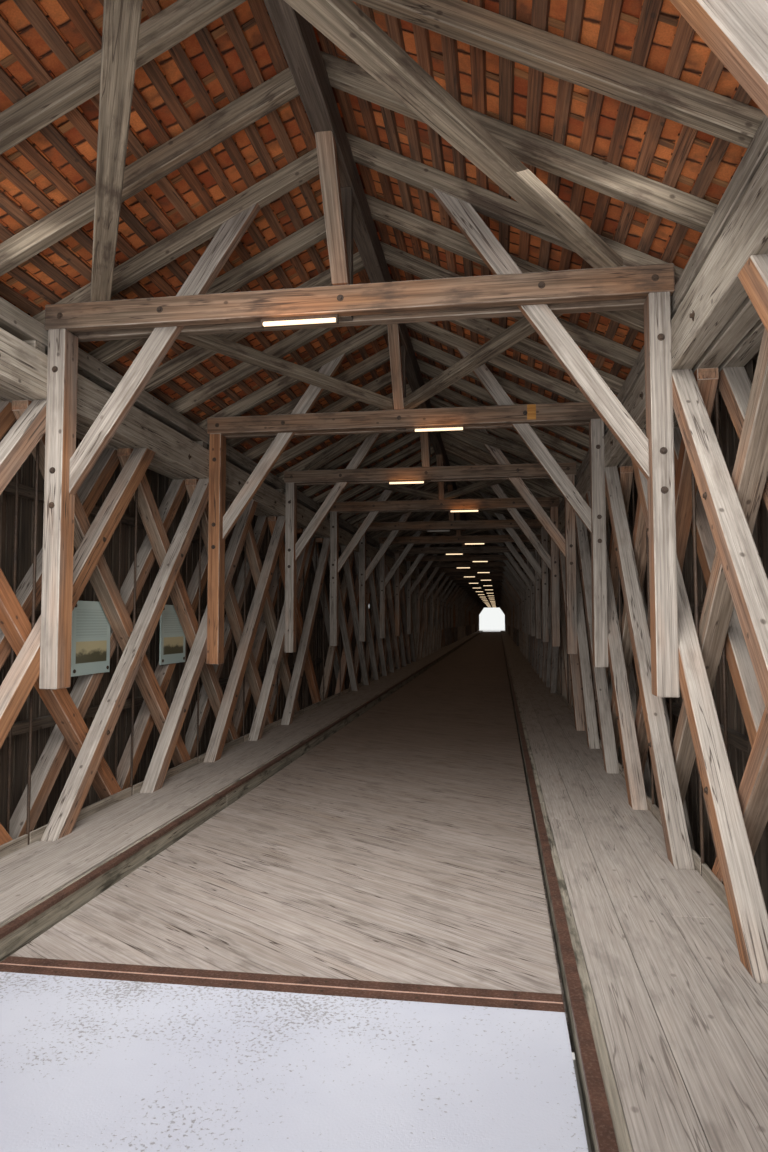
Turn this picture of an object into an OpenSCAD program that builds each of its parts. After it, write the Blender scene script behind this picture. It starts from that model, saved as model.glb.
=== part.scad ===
// Covered timber road bridge on Howe trusses, at one tenth of full size.
// All lengths are millimetres of the model. X runs across the bridge, Y along it and Z up.
// The origin is on the centre line, halfway along the bridge, at the foot of the piers.

/* [Spans and levels] */
// Number of spans from abutment to abutment
span_count = 4; // [2:1:6]
// Bays between tie beams in one span
bays_per_span = 10; // [6:2:14]
// Distance from one tie beam to the next
bay = 337.5; // [310:2.5:370]
// Height of the road above the foot of the piers
road_height = 600; // [500:10:800]
// Overhang of the chords beyond the first and last panel point
chord_overhang = 15; // [12:1:30]
// Length of the post at each end of a truss
end_post_length = 24; // [20:1:30]

/* [Trusses] */
// Clear width between the two trusses
truss_clear = 464; // [440:2:500]
// Width of one chord beam and of one brace, across the bridge
beam_width = 14; // [12:0.5:16]
// Gap between chord beams that the iron rods pass through
beam_gap = 3; // [3:0.2:4]
// Depth of the top chord
top_chord_depth = 34; // [30:1:40]
// Depth of the bottom chord
bottom_chord_depth = 40; // [36:1:46]
// Underside of the top chord above the road
top_chord_rise = 358; // [350:1:380]
// Top of the bottom chord below the road
bottom_chord_drop = 14; // [10:1:20]
// Depth of a diagonal brace, square to its length
brace_depth = 16; // [13:0.5:19]
// Height of a hardwood bearing block on a chord
block_height = 8; // [6:0.5:10]
// Length of a hardwood bearing block along a chord
block_length = 24; // [22:1:30]
// Half the length of a support post along the bridge
support_post_half = 9; // [8:0.5:12]
// Diameter of an iron tie rod
rod_diameter = 2.4; // [2:0.1:2.6]
// Thickness of a rod plate
rod_plate = 2; // [1.5:0.25:3]
// Length of a rod plate along the chord
rod_plate_length = 12; // [8:1:16]
// Length of a rod above its top plate
rod_end = 2; // [1:0.5:3]

/* [Floor] */
// Depth of a floor beam
floor_beam_depth = 36; // [30:1:40]
// Thickness of each of the two timbers of a floor beam
floor_beam_width = 12; // [10:0.5:14]
// Gap between the two timbers of a floor beam
floor_beam_gap = 4; // [3.6:0.2:6]
// Depth of a stringer
stringer_depth = 30; // [24:1:34]
// Width of a stringer
stringer_width = 20; // [16:1:24]
// Distance between the centres of the stringers
stringer_spacing = 90; // [80:1:95]
// Gap between the stringers and the abutment
stringer_gap = 1; // [0.5:0.5:4]
// Thickness of the road deck
deck_thickness = 24; // [20:1:28]
// Thickness of the deck under the sidewalks
under_walk_thickness = 14; // [10:1:18]
// Left edge of the road, measured to the left of the centre line
road_left = 157.5; // [140:0.5:165]
// Right edge of the road, measured to the right of the centre line
road_right = 142; // [130:0.5:165]
// Rise of the sidewalk above the road
walk_rise = 14; // [10:0.5:18]
// Thickness of the sidewalk planks
walk_plank = 5; // [4:0.5:7]
// Width of a timber that carries the edge of a sidewalk
walk_joist_width = 10; // [8:0.5:12]
// Distance from the edge of the road to the curb steel
curb_setback = 1.5; // [1:0.5:3]
// Width of a curb timber
curb_width = 9.5; // [8:0.5:12]
// Width of the curb steel
curb_steel_width = 6; // [4:0.5:9]
// Height of the curb steel
curb_steel_height = 2.5; // [2:0.5:6]
// Thickness of the curb steels and joint steels
steel_thickness = 1.2; // [1:0.1:2]
// Height of the kick boards above the sidewalk
kick_rise = 8; // [6:0.5:12]
// Clearance of the kick boards from beams and rods
kick_clearance = 0.3; // [0.2:0.1:0.8]
// Distance from the first panel point to the steel joint in the road
joint_distance = 513; // [505:1:560]
// Half width of the steel joint
joint_half = 9; // [6:0.5:12]
// Slot between the two steels of the joint
joint_slot = 1.6; // [1:0.2:3]
// Depth of the joint steels
joint_leg = 10; // [6:0.5:14]

/* [Cross frames] */
// Underside of the tie beams above the road
tie_rise = 412; // [405:1:430]
// Depth of a tie beam
tie_depth = 20; // [16:0.5:24]
// Thickness of each of the two timbers of a tie beam, and of the gap between them
tie_thickness = 10; // [8:0.5:12]
// Width of a hanging post, across the bridge
post_width = 14.5; // [12:0.5:18]
// Foot of a hanging post above the road
post_foot = 134; // [110:1:170]
// Height above the road at which a knee brace meets its post
knee_foot = 298; // [270:1:320]
// Rise of a knee brace per unit of run
knee_slope = 1.47; // [1.3:0.01:1.6]
// Depth of a knee brace, square to its length
knee_depth = 15; // [12:0.5:18]
// Depth of a seat cut in a post for its knee brace
knee_seat = 4; // [2:0.5:5]
// Distance that a knee brace reaches below that height
knee_foot_cut = 25; // [18:1:28]
// Width of the ridge posts and struts
ridge_post_width = 12; // [10:0.5:15]
// Distance that the top of a ridge strut leans along the bridge
ridge_strut_lean = 54; // [40:1:70]
// Distance from the middle of a tie beam to the foot of its ridge strut
strut_setback = 11.4; // [10:0.2:14]
// Width of a wind brace
wind_brace_width = 14; // [11:0.5:16]
// Depth of a wind brace
wind_brace_depth = 10; // [8:0.5:12]
// Distance from the centre line to the outer end of a wind brace
wind_brace_end = 200; // [180:1:215]

/* [Roof] */
// Slope of the roof in degrees
roof_pitch = 27; // [24:0.5:30]
// Underside of the rafters at the ridge, above the road
rafter_rise = 540; // [530:1:560]
// Rafters in one bay
rafters_per_bay = 4; // [3:1:5]
// Depth of a rafter, square to the roof
rafter_depth = 14; // [12:0.5:16]
// Half width of the roof at the eaves
eaves_half = 352; // [330:1:380]
// Reach of the tiles beyond the rafters
eaves_lip = 6; // [4:0.5:8]
// Overhang of the roof beyond the portals
verge_overhang = 60; // [30:1:90]
// Width of the ridge purlin
ridge_purlin_width = 14; // [12:0.5:18]
// Depth of the ridge purlin
ridge_purlin_depth = 26; // [20:1:32]
// Rise of the ridge purlin into its rafters
purlin_seat = 1.5; // [1:0.5:3]
// Width of a wall plate
plate_width = 18; // [14:0.5:22]
// Depth of a wall plate
plate_depth = 15; // [12:0.5:18]
// Top of the wall plates above the road
plate_rise = 416; // [410:1:420]
// Inner face of the wall plates from the centre line
plate_inner = 235; // [233:0.5:240]
// Length of a block under a wall plate
plate_block_length = 14; // [10:1:18]
// Distance from a tie beam's middle to the middle of such a block
plate_block_place = 16; // [14:1:24]
// Distance that such a block stands back from the faces of the plate
plate_block_inset = 2; // [1:0.5:4]
// Distance between tile battens along the slope
batten_pitch = 18; // [15:0.5:34]
// Distance from the ridge to the first batten
batten_start = 4; // [2:0.5:8]
// Width of a tile batten
batten_width = 8; // [5:0.5:9]
// Thickness of a tile batten
batten_thickness = 3.5; // [2.5:0.5:5]
// Thickness of the tile covering
cover_thickness = 4; // [3:0.5:6]
// Reach of the tiles beyond the ends of the battens
cover_lip = 5; // [3:0.5:8]
// Half of the seam between the tiles of the two slopes
slope_seam = 0.2; // [0.1:0.1:0.5]
// Half width of the ridge tiles
ridge_tile_half = 15; // [12:0.5:20]
// Thickness of the ridge tiles at their edges
ridge_tile_thickness = 3; // [2:0.5:4]
// Thickness of a barge board
barge_thickness = 3; // [2:0.5:5]
// Depth of a barge board below the battens
barge_depth = 20; // [16:1:30]

/* [Walls and portals] */
// Thickness of the wall boarding
board_thickness = 3; // [2.5:0.5:5]
// Depth of a wall rail, across the bridge
rail_depth = 8; // [6:0.5:10]
// Height of a wall rail
rail_height = 9; // [7:0.5:11]
// Depth of a wall stud, across the bridge
stud_depth = 7; // [6:0.5:10]
// Width of a wall stud, along the bridge
stud_width = 10; // [8:0.5:14]
// Distance from the top of the top chord down to the top of a wall stud
stud_top_drop = 8; // [4:0.5:12]
// Bottom edge of the boarding below the road
board_drop = 66; // [60:1:90]
// Centre heights of the wall rails above the road
rail_levels = [-49, 95, 197, 297, 376];
// Width of a wall window
window_width = 30; // [20:1:45]
// Height of a wall window
window_height = 70; // [50:1:85]
// Sill of a wall window above the road
window_sill = 212; // [205:1:220]
// First window, counted in bays from the near portal
window_first = 7.5; // [2.5:1:9.5]
// Bays from one window to the next
window_step = 5; // [4:1:10]
// Seam between wall panels
panel_seam = 0.5; // [0.4:0.1:1]
// Clearance of the boarding from the timbers that pass through it
fit_clearance = 0.3; // [0.2:0.1:0.8]
// Half width of the portal opening
portal_half = 219.5; // [210:0.5:222]
// Height of the portal opening above the road
portal_rise = 410; // [400:1:420]
// Size of the cut corners of the portal opening
portal_corner = [62, 68]; // [30:1:90]

/* [Abutments and piers] */
// Half width of an abutment
abutment_half = 320; // [300:1:360]
// Half width of the upper part of an abutment, between the trusses
abutment_core_half = 216; // [200:1:219]
// Distance from the first panel point to the back of an abutment
abutment_back = 60; // [50:1:120]
// Distance from the upper part of an abutment to the steel joint
core_setback = 30; // [24:1:40]
// Height of the timber sleepers that carry the chords
sleeper_height = 16; // [12:1:24]
// Reach of a sleeper beyond the faces of the truss
sleeper_margin = 6; // [3:0.5:10]
// Length of a sleeper on a pier
pier_sleeper_length = 120; // [90:5:125]
// Length of a sleeper on an abutment
bank_sleeper_length = 100; // [60:5:110]
// Distance from the first panel point to the first sleeper on an abutment
bank_sleeper_first = 100; // [60:5:120]
// Distance from the first panel point to the second sleeper on an abutment
bank_sleeper_second = 430; // [300:5:440]
// Length of a pier along the bridge
pier_length = 160; // [130:5:220]
// Half width of a pier across the bridge, without its pointed ends
pier_half = 320; // [300:5:360]
// Reach of the pointed ends of a pier
pier_nose = 70; // [50:5:110]
// Height of the pier cap
pier_cap = 30; // [20:1:50]
// Reach of the pier cap beyond the pier
pier_cap_lip = 8; // [4:1:12]

/* [Fittings] */
// Length of a tube lamp
lamp_length = 59; // [40:1:70]
// Width of a tube lamp
lamp_width = 6; // [4:0.5:8]
// Height of a tube lamp
lamp_height = 7; // [5:0.5:9]
// Place of the lamps on even ties, to the left of the centre line
lamp_left = 32; // [0:1:80]
// Place of the lamps on odd ties, to the right of the centre line
lamp_right = 46; // [0:1:80]
// Width of an info board
info_board_width = 68; // [40:1:68]
// Height of an info board
info_board_height = 68; // [40:1:90]
// Thickness of an info board
info_board_thickness = 2; // [1:0.25:2.5]
// Lower edge of the info boards above the road
info_board_sill = 136; // [100:1:180]
// Distance from the first panel point to the first info board
info_board_first = 759; // [750:1:762]
// Distance from the first panel point to the second info board
info_board_second = 942.5; // [930:0.5:942.5]

/* [Hidden] */
panels_per_span = 2 * bays_per_span;
panel = bay / 2;
bay_count = span_count * bays_per_span;
panel_count = 2 * bay_count;
bridge_length = bay_count * bay;
y0 = -bridge_length / 2;
chord_end = bridge_length / 2 + chord_overhang;
end_post_inside = end_post_length - chord_overhang;
rd = road_height;
truss_in = truss_clear / 2;
plane_step = beam_width + beam_gap;
truss_out = truss_in + 3 * beam_width + 2 * beam_gap;
top_chord_z = rd + top_chord_rise;
bottom_chord_top = rd - bottom_chord_drop;
bottom_chord_z = bottom_chord_top - bottom_chord_depth;
floor_beam_z = bottom_chord_z - floor_beam_depth;
deck_z = rd - deck_thickness;
under_walk_top = deck_z + under_walk_thickness;
walk_z = rd + walk_rise;
seat_z = bottom_chord_z - sleeper_height;
tie_z = rd + tie_rise;
roof_tan = tan(roof_pitch);
rafter_z = rd + rafter_rise;
rafter_drop = rafter_depth / cos(roof_pitch);
rafter_end = eaves_half - eaves_lip;
purlin_top = rafter_z - roof_tan * ridge_purlin_width / 2 + purlin_seat;
purlin_z = purlin_top - ridge_purlin_depth;
plate_top = rd + plate_rise;
plate_z = plate_top - plate_depth;
board_in = truss_out + stud_depth + rail_depth;
board_out = board_in + board_thickness;
board_z = rd - board_drop;
board_top = rafter_z - roof_tan * board_out - fit_clearance;
joint_y = y0 + joint_distance;
core_end = joint_y - core_setback;
window_bays = [for (b = [window_first : window_step : bay_count - window_first]) b];
joint_end = joint_slot / 2 + steel_thickness;
under_walk_half = truss_in - 4;
first_floor_panel = ceil((joint_distance + floor_beam_width + floor_beam_gap) / panel);
slope_length = (eaves_half - batten_start) / cos(roof_pitch);
batten_count = floor((slope_length - batten_width) / batten_pitch) + 1;

function panel_y(i) = y0 + i * panel;
function bay_y(k) = y0 + k * bay;
function is_support(i) = i % panels_per_span == 0;
function rafter_under(x) = rafter_z - roof_tan * abs(x);

// Timber grey, fresh timber, dark timber, iron, concrete, tile and lamp colours of the model
wood = [0.56, 0.52, 0.47];
fresh_wood = [0.62, 0.42, 0.27];
dark_wood = [0.27, 0.23, 0.19];
iron = [0.3, 0.2, 0.16];
stone = [0.66, 0.66, 0.65];
tile = [0.55, 0.27, 0.17];
glow = [0.98, 0.95, 0.88];

// Shared profiles

// Draws a profile of the YZ plane and gives it a width along X from x.
module side_profile(x, width) {
  translate([x, 0, 0])
    rotate([90, 0, 90])
      linear_extrude(width)
        children();
}

// Draws a profile of the XZ plane and gives it a length along Y from y.
module cross_profile(y, length) {
  translate([0, y + length, 0])
    rotate([90, 0, 0])
      linear_extrude(length)
        children();
}

module both_sides() {
  children();
  mirror([1, 0, 0])
    children();
}

module both_ends() {
  children();
  mirror([0, 1, 0])
    children();
}

// A box given by its lowest and highest corner.
module block(low, high) {
  translate(low)
    cube(high - low);
}

// A leaning timber with level ends, centred on the lines through a and b.
module leaning_bar(a, b, depth) {
  run = b[0] - a[0];
  rise = b[1] - a[1];
  half = depth * sqrt(run * run + rise * rise) / abs(rise) / 2;
  polygon([[a[0] - half, a[1]], [a[0] + half, a[1]], [b[0] + half, b[1]], [b[0] - half, b[1]]]);
}

// Abutments and piers

module abutments() {
  color(stone)
    both_ends()
      difference() {
      union() {
        block([-abutment_half, y0 - abutment_back, 0], [abutment_half, joint_y, seat_z]);
        block([-abutment_core_half, y0 - abutment_back, 0], [abutment_core_half, joint_y, bottom_chord_z]);
        block([-abutment_core_half, y0 - abutment_back, 0], [abutment_core_half, core_end, under_walk_top]);
      }
      block([-road_left, y0 - abutment_back - 1, deck_z], [road_right, joint_y + 1, rd]);
    }
}

module pier_outline(extra) {
  half = pier_length / 2 + extra;
  side = pier_half + extra;
  polygon([[-side, -half], [side, -half], [side + pier_nose, 0], [side, half], [-side, half], [-side - pier_nose, 0]]);
}

module river_piers() {
  color(stone)
    for (s = [1 : span_count - 1])
      translate([0, panel_y(s * panels_per_span), 0]) {
        linear_extrude(seat_z - pier_cap)
          pier_outline(0);
        translate([0, 0, seat_z - pier_cap])
          linear_extrude(pier_cap)
            pier_outline(pier_cap_lip);
      }
}

module sleeper(y, half) {
  block([truss_in - sleeper_margin, y - half, seat_z], [truss_out + sleeper_margin, y + half, bottom_chord_z]);
}

module bearing_sleepers() {
  color(dark_wood)
    both_sides() {
      for (s = [1 : span_count - 1])
        sleeper(panel_y(s * panels_per_span), pier_sleeper_length / 2);
      both_ends() {
        sleeper(y0 + bank_sleeper_first, bank_sleeper_length / 2);
        sleeper(y0 + bank_sleeper_second, bank_sleeper_length / 2);
      }
    }
}

// Trusses

module chords(z, depth) {
  both_sides()
    for (k = [0 : 2])
      block([truss_in + k * plane_step, -chord_end, z],
            [truss_in + k * plane_step + beam_width, chord_end, z + depth]);
}

module bottom_chords() {
  color(wood)
    chords(bottom_chord_z, bottom_chord_depth);
}

module top_chords() {
  color(wood)
    chords(top_chord_z, top_chord_depth);
}

module support_posts_2d() {
  for (s = [0 : span_count]) {
    y = panel_y(s * panels_per_span);
    low = s == 0 ? -chord_end : s == span_count ? y - end_post_inside : y - support_post_half;
    high = s == span_count ? chord_end : s == 0 ? y + end_post_inside : y + support_post_half;
    translate([low, bottom_chord_top])
      square([high - low, top_chord_z - bottom_chord_top]);
  }
}

module support_posts() {
  color(wood)
    both_sides()
      side_profile(truss_in, truss_out - truss_in)
        support_posts_2d();
}

// Braces of one plane, lying over two panels and turned about at each midspan.
// feet_out is true where each foot stands nearer to its support than its head.
module brace_plane_2d(feet_out, inset) {
  low = bottom_chord_top + inset;
  high = top_chord_z - inset;
  difference() {
    for (s = [0 : span_count - 1])
      for (i = [0 : bays_per_span - 2]) {
        a = s * panels_per_span + i;
        b = (s + 1) * panels_per_span - i;
        near = feet_out ? [panel_y(a), panel_y(a + 2)] : [panel_y(a + 2), panel_y(a)];
        far = feet_out ? [panel_y(b), panel_y(b - 2)] : [panel_y(b - 2), panel_y(b)];
        leaning_bar([near[0], low], [near[1], high], brace_depth);
        leaning_bar([far[0], low], [far[1], high], brace_depth);
      }
    support_posts_2d();
  }
}

module main_braces_right() {
  color(wood) {
    side_profile(truss_in, beam_width)
      brace_plane_2d(true, 0);
    side_profile(truss_in + 2 * plane_step, beam_width)
      brace_plane_2d(true, 0);
  }
}

module main_braces_left() {
  mirror([1, 0, 0])
    main_braces_right();
}

module counter_braces_right() {
  color(fresh_wood)
    side_profile(truss_in + plane_step, beam_width)
      brace_plane_2d(false, block_height);
}

module counter_braces_left() {
  mirror([1, 0, 0])
    counter_braces_right();
}

module bearing_blocks() {
  color(fresh_wood)
    both_sides()
      for (i = [1 : panel_count - 1])
      if (!is_support(i))
        for (z = [bottom_chord_top, top_chord_z - block_height])
          block([truss_in + plane_step, panel_y(i) - block_length / 2, z],
                [truss_in + plane_step + beam_width, panel_y(i) + block_length / 2, z + block_height]);
}

module iron_rods() {
  color(iron)
    both_sides()
      for (i = [1 : panel_count - 1])
      if (!is_support(i)) {
        on_land = i < first_floor_panel || i > panel_count - first_floor_panel;
        foot = (on_land ? bottom_chord_z : floor_beam_z) - rod_plate;
        head = top_chord_z + top_chord_depth;
        half = on_land ? rod_plate_length / 2 : floor_beam_gap / 2 + floor_beam_width / 2;
        translate([0, panel_y(i), 0]) {
          for (k = [1, 2])
            translate([truss_in + k * plane_step - beam_gap / 2, 0, foot])
              cylinder(h = head + rod_plate + rod_end - foot, d = rod_diameter);
          block([truss_in + beam_width / 2, -rod_plate_length / 2, head],
                [truss_out - beam_width / 2, rod_plate_length / 2, head + rod_plate]);
          block([truss_in + beam_width / 2, -half, foot], [truss_out - beam_width / 2, half, foot + rod_plate]);
        }
      }
}

// Floor

module floor_beams() {
  color(dark_wood)
    for (i = [first_floor_panel : panel_count - first_floor_panel])
      if (!is_support(i))
        for (side = [-1, 1])
          translate([0, panel_y(i) + side * (floor_beam_gap + floor_beam_width) / 2, floor_beam_z + floor_beam_depth / 2])
            cube([2 * truss_out + 20, floor_beam_width, floor_beam_depth], center = true);
}

module stringers() {
  color(dark_wood)
    for (n = [-2 : 2])
      block([n * stringer_spacing - stringer_width / 2, core_end + stringer_gap, bottom_chord_z],
            [n * stringer_spacing + stringer_width / 2, -core_end - stringer_gap, deck_z]);
}

module road_deck() {
  color(wood)
    difference() {
      cross_profile(joint_y + joint_end, -2 * joint_y - 2 * joint_end)
        union() {
          translate([-under_walk_half, deck_z])
            square([2 * under_walk_half, under_walk_thickness]);
          translate([-road_left, deck_z])
            square([road_left + road_right, deck_thickness]);
        }
      both_ends()
        joint_seat();
    }
}

module approach_slabs() {
  color(stone)
    both_ends()
      difference() {
        block([-road_left, y0 - abutment_back, deck_z], [road_right, joint_y - joint_end, rd]);
        joint_seat();
      }
}

// Room for the flat legs of the two joint steels at one end of the bridge.
module joint_seat() {
  block([-road_left - 1, joint_y - joint_half, rd - steel_thickness], [road_right + 1, joint_y + joint_half, rd + 1]);
}

module joint_steel_2d() {
  polygon([[-joint_half, rd], [-joint_slot / 2, rd], [-joint_slot / 2, rd - joint_leg], [-joint_end, rd - joint_leg],
           [-joint_end, rd - steel_thickness], [-joint_half, rd - steel_thickness]]);
}

module expansion_joints() {
  color(iron)
    both_ends()
      translate([0, joint_y, 0])
        side_profile(-road_left, road_left + road_right) {
          joint_steel_2d();
          mirror([1, 0])
            joint_steel_2d();
        }
}

module walk_framing_side(edge) {
  curb = edge + curb_setback + steel_thickness;
  block([curb, -chord_end, under_walk_top], [curb + curb_width, chord_end, walk_z - steel_thickness]);
  block([abutment_core_half - walk_joist_width, -chord_end, under_walk_top],
        [abutment_core_half, chord_end, walk_z - walk_plank]);
}

module walk_framing() {
  color(wood) {
    walk_framing_side(road_right);
    mirror([1, 0, 0])
      walk_framing_side(road_left);
  }
}

// Sidewalk planks, notched round the feet of the inner braces.
module sidewalk_side(edge) {
  low = walk_z - walk_plank;
  first = edge + curb_setback + steel_thickness + curb_width;
  translate([0, 0, low])
    linear_extrude(walk_plank)
      difference() {
        translate([first, -chord_end])
          square([truss_in + beam_width - first, 2 * chord_end]);
        translate([truss_in, 0])
          mirror([1, -1])
            projection_notches();
        for (s = [0 : span_count])
          translate([truss_in, s == span_count ? chord_end - end_post_length
                     : s == 0 ? -chord_end : panel_y(s * panels_per_span) - support_post_half])
            square([beam_width, s % span_count == 0 ? end_post_length : 2 * support_post_half]);
      }
}

// Notches at the height of the planks, drawn along X as the length of the bridge.
module projection_notches() {
  run = 2 * panel / (top_chord_z - bottom_chord_top);
  half = brace_depth * sqrt(1 + run * run) / 2;
  near_end = (walk_z - walk_plank - bottom_chord_top) * run - half;
  far_end = (walk_z - bottom_chord_top) * run + half;
  for (s = [0 : span_count - 1])
    for (i = [0 : bays_per_span - 2]) {
      translate([panel_y(s * panels_per_span + i) + near_end, 0])
        square([far_end - near_end, beam_width]);
      translate([panel_y((s + 1) * panels_per_span - i) - far_end, 0])
        square([far_end - near_end, beam_width]);
    }
}

module sidewalks() {
  color(wood) {
    sidewalk_side(road_right);
    mirror([1, 0, 0])
      sidewalk_side(road_left);
  }
}

module curb_steel_side(edge) {
  translate([edge + curb_setback, 0, walk_z])
    cross_profile(-chord_end, 2 * chord_end)
      polygon([[0, 0], [curb_steel_width, 0], [curb_steel_width, -steel_thickness], [steel_thickness, -steel_thickness],
               [steel_thickness, -curb_steel_height], [0, -curb_steel_height]]);
}

module curb_angles() {
  color(iron) {
    curb_steel_side(road_right);
    mirror([1, 0, 0])
      curb_steel_side(road_left);
  }
}

module kick_boards() {
  color(wood)
    both_sides()
      for (i = [0 : panel_count - 1]) {
        near = i == 0 ? end_post_inside : is_support(i) ? support_post_half : rod_diameter / 2 + kick_clearance;
        far = i == panel_count - 1 ? end_post_inside
              : is_support(i + 1) ? support_post_half : rod_diameter / 2 + kick_clearance;
        block([truss_in + beam_width + kick_clearance, panel_y(i) + near, walk_z - walk_plank],
              [truss_in + beam_width + beam_gap - kick_clearance, panel_y(i + 1) - far, walk_z + kick_rise]);
      }
}

// Cross frames

module tie_beams() {
  color(wood)
    for (k = [0 : bay_count])
      for (side = [-1, 1])
        translate([0, bay_y(k) + side * tie_thickness, tie_z + tie_depth / 2])
          cube([2 * plate_inner, tie_thickness, tie_depth], center = true);
}

// Knee brace on the right side, cut by its seat in the post and by the underside of the rafter.
module knee_brace_2d() {
  seat_x = truss_in - post_width + knee_seat;
  top_x = 3 * ridge_purlin_width;
  half_x = knee_depth * sqrt(1 + knee_slope * knee_slope) / knee_slope / 2;
  foot_z = rd + knee_foot;
  z_at = [-2 * knee_depth, rafter_rise - knee_foot + knee_depth];
  intersection() {
    polygon([[seat_x - knee_seat - (z_at[0]) / knee_slope - half_x, foot_z + z_at[0]],
             [seat_x - knee_seat - (z_at[0]) / knee_slope + half_x, foot_z + z_at[0]],
             [seat_x - knee_seat - z_at[1] / knee_slope + half_x, foot_z + z_at[1]],
             [seat_x - knee_seat - z_at[1] / knee_slope - half_x, foot_z + z_at[1]]]);
    polygon([[top_x, foot_z - knee_foot_cut], [seat_x, foot_z - knee_foot_cut], [seat_x, rafter_under(seat_x)],
             [top_x, rafter_under(top_x)]]);
  }
}

module knee_braces_right() {
  color(wood)
    for (k = [0 : bay_count])
      cross_profile(bay_y(k) - tie_thickness / 2, tie_thickness)
        knee_brace_2d();
}

module knee_braces_left() {
  mirror([1, 0, 0])
    knee_braces_right();
}

module hanging_posts_right() {
  color(wood)
    for (k = [0 : bay_count])
      difference() {
        block([truss_in - post_width, bay_y(k) - 1.5 * tie_thickness, rd + post_foot],
              [truss_in, bay_y(k) + tie_thickness / 2, tie_z]);
        cross_profile(bay_y(k) - tie_thickness / 2, tie_thickness + 1)
          knee_brace_2d();
      }
}

module hanging_posts_left() {
  mirror([1, 0, 0])
    hanging_posts_right();
}

module ridge_posts() {
  color(dark_wood)
    for (k = [0 : bay_count])
      block([-ridge_post_width / 2, bay_y(k) - tie_thickness / 2, tie_z],
            [ridge_post_width / 2, bay_y(k) + tie_thickness / 2, purlin_z]);
}

module ridge_struts() {
  foot = strut_setback;
  color(fresh_wood)
    for (k = [1 : bay_count])
      side_profile(-ridge_post_width / 2, ridge_post_width)
        leaning_bar([bay_y(k) - foot, tie_z + tie_depth], [bay_y(k) - foot - ridge_strut_lean, purlin_z], tie_thickness);
}

// A wind brace of one bay on the right side, seen from above, from the plate end to the middle.
module wind_brace_2d() {
  end_x = wind_brace_end;
  start = tie_thickness / 2;
  stop = bay - tie_thickness / 2;
  half = wind_brace_width * sqrt(1 + pow(end_x / (bay - 2 * tie_thickness), 2)) / 2;
  inner = ridge_post_width / 2 + panel_seam;
  intersection() {
    polygon([[end_x - half, start - wind_brace_depth], [end_x + half, start - wind_brace_depth],
             [half, stop + wind_brace_depth / 2], [-half, stop + wind_brace_depth / 2]]);
    translate([inner, start])
      square([plate_inner - inner, stop - start]);
  }
}

module wind_braces() {
  color(wood)
    for (k = [0 : bay_count - 1])
      both_sides()
        translate([0, k % 2 == 0 ? bay_y(k) : bay_y(k + 1), tie_z + tie_depth])
          linear_extrude(wind_brace_depth)
            mirror([0, k % 2])
              wind_brace_2d();
}

// Roof

module ridge_purlin() {
  color(dark_wood)
    block([-ridge_purlin_width / 2, -chord_end - verge_overhang, purlin_z],
          [ridge_purlin_width / 2, chord_end + verge_overhang, purlin_top]);
}

module wall_plates() {
  color(wood)
    both_sides() {
      block([plate_inner, -chord_end - verge_overhang, plate_z],
            [plate_inner + plate_width, chord_end + verge_overhang, plate_top]);
      for (k = [0 : bay_count])
        for (side = [-1, 1]) {
          y = bay_y(k) + side * plate_block_place;
          if (abs(y) < chord_end - plate_block_length / 2)
            block([plate_inner + plate_block_inset, y - plate_block_length / 2, top_chord_z + top_chord_depth],
                  [plate_inner + plate_width - plate_block_inset, y + plate_block_length / 2, plate_z]);
        }
    }
}

module rafter_2d() {
  difference() {
    polygon([[0, rafter_z], [rafter_end, rafter_under(rafter_end)],
             [rafter_end, rafter_under(rafter_end) + rafter_drop], [0, rafter_z + rafter_drop]]);
    translate([-1, purlin_z])
      square([1 + ridge_purlin_width / 2, ridge_purlin_depth]);
    translate([plate_inner, plate_z])
      square([plate_width, plate_depth]);
  }
}

module rafters_right() {
  color(wood)
    for (j = [0 : bay_count * rafters_per_bay])
      cross_profile(y0 + j * bay / rafters_per_bay - tie_thickness / 2, tie_thickness)
        rafter_2d();
}

module rafters_left() {
  mirror([1, 0, 0])
    rafters_right();
}

// Places a profile on the right roof slope: X down the slope from the ridge, Y square to it.
module on_slope() {
  translate([0, rafter_z + rafter_drop])
    rotate(-roof_pitch)
      children();
}

module battens() {
  color(dark_wood)
    both_sides()
      cross_profile(-chord_end - verge_overhang, 2 * (chord_end + verge_overhang))
      for (n = [0 : batten_count - 1])
        on_slope()
          translate([batten_start + n * batten_pitch, 0])
            square([batten_width, batten_thickness]);
}

module roof_cover() {
  color(tile)
    both_sides()
      cross_profile(-chord_end - verge_overhang - cover_lip, 2 * (chord_end + verge_overhang + cover_lip))
      intersection() {
        on_slope()
          translate([-3 * cover_thickness, batten_thickness])
            square([slope_length + 3 * cover_thickness + eaves_lip, cover_thickness]);
        translate([slope_seam, 0])
          square([2 * eaves_half, 3 * rd]);
      }
}

module ridge_tiles() {
  top = rafter_z + rafter_drop + (batten_thickness + cover_thickness) / cos(roof_pitch);
  half = ridge_tile_half;
  edge = ridge_tile_thickness;
  fall = half * roof_tan;
  color(tile)
    cross_profile(-chord_end - verge_overhang - cover_lip, 2 * (chord_end + verge_overhang + cover_lip))
      translate([0, top])
        polygon([[-half, -fall], [0, 0], [half, -fall], [half, edge - fall], [0.4 * half, 1.2 * edge],
                 [-0.4 * half, 1.2 * edge], [-half, edge - fall]]);
}

// Walls

module wall_panel(x, ya, yb, za, zb) {
  block([x, ya + panel_seam / 2, za], [x + board_thickness, yb - panel_seam / 2, zb]);
}

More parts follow.
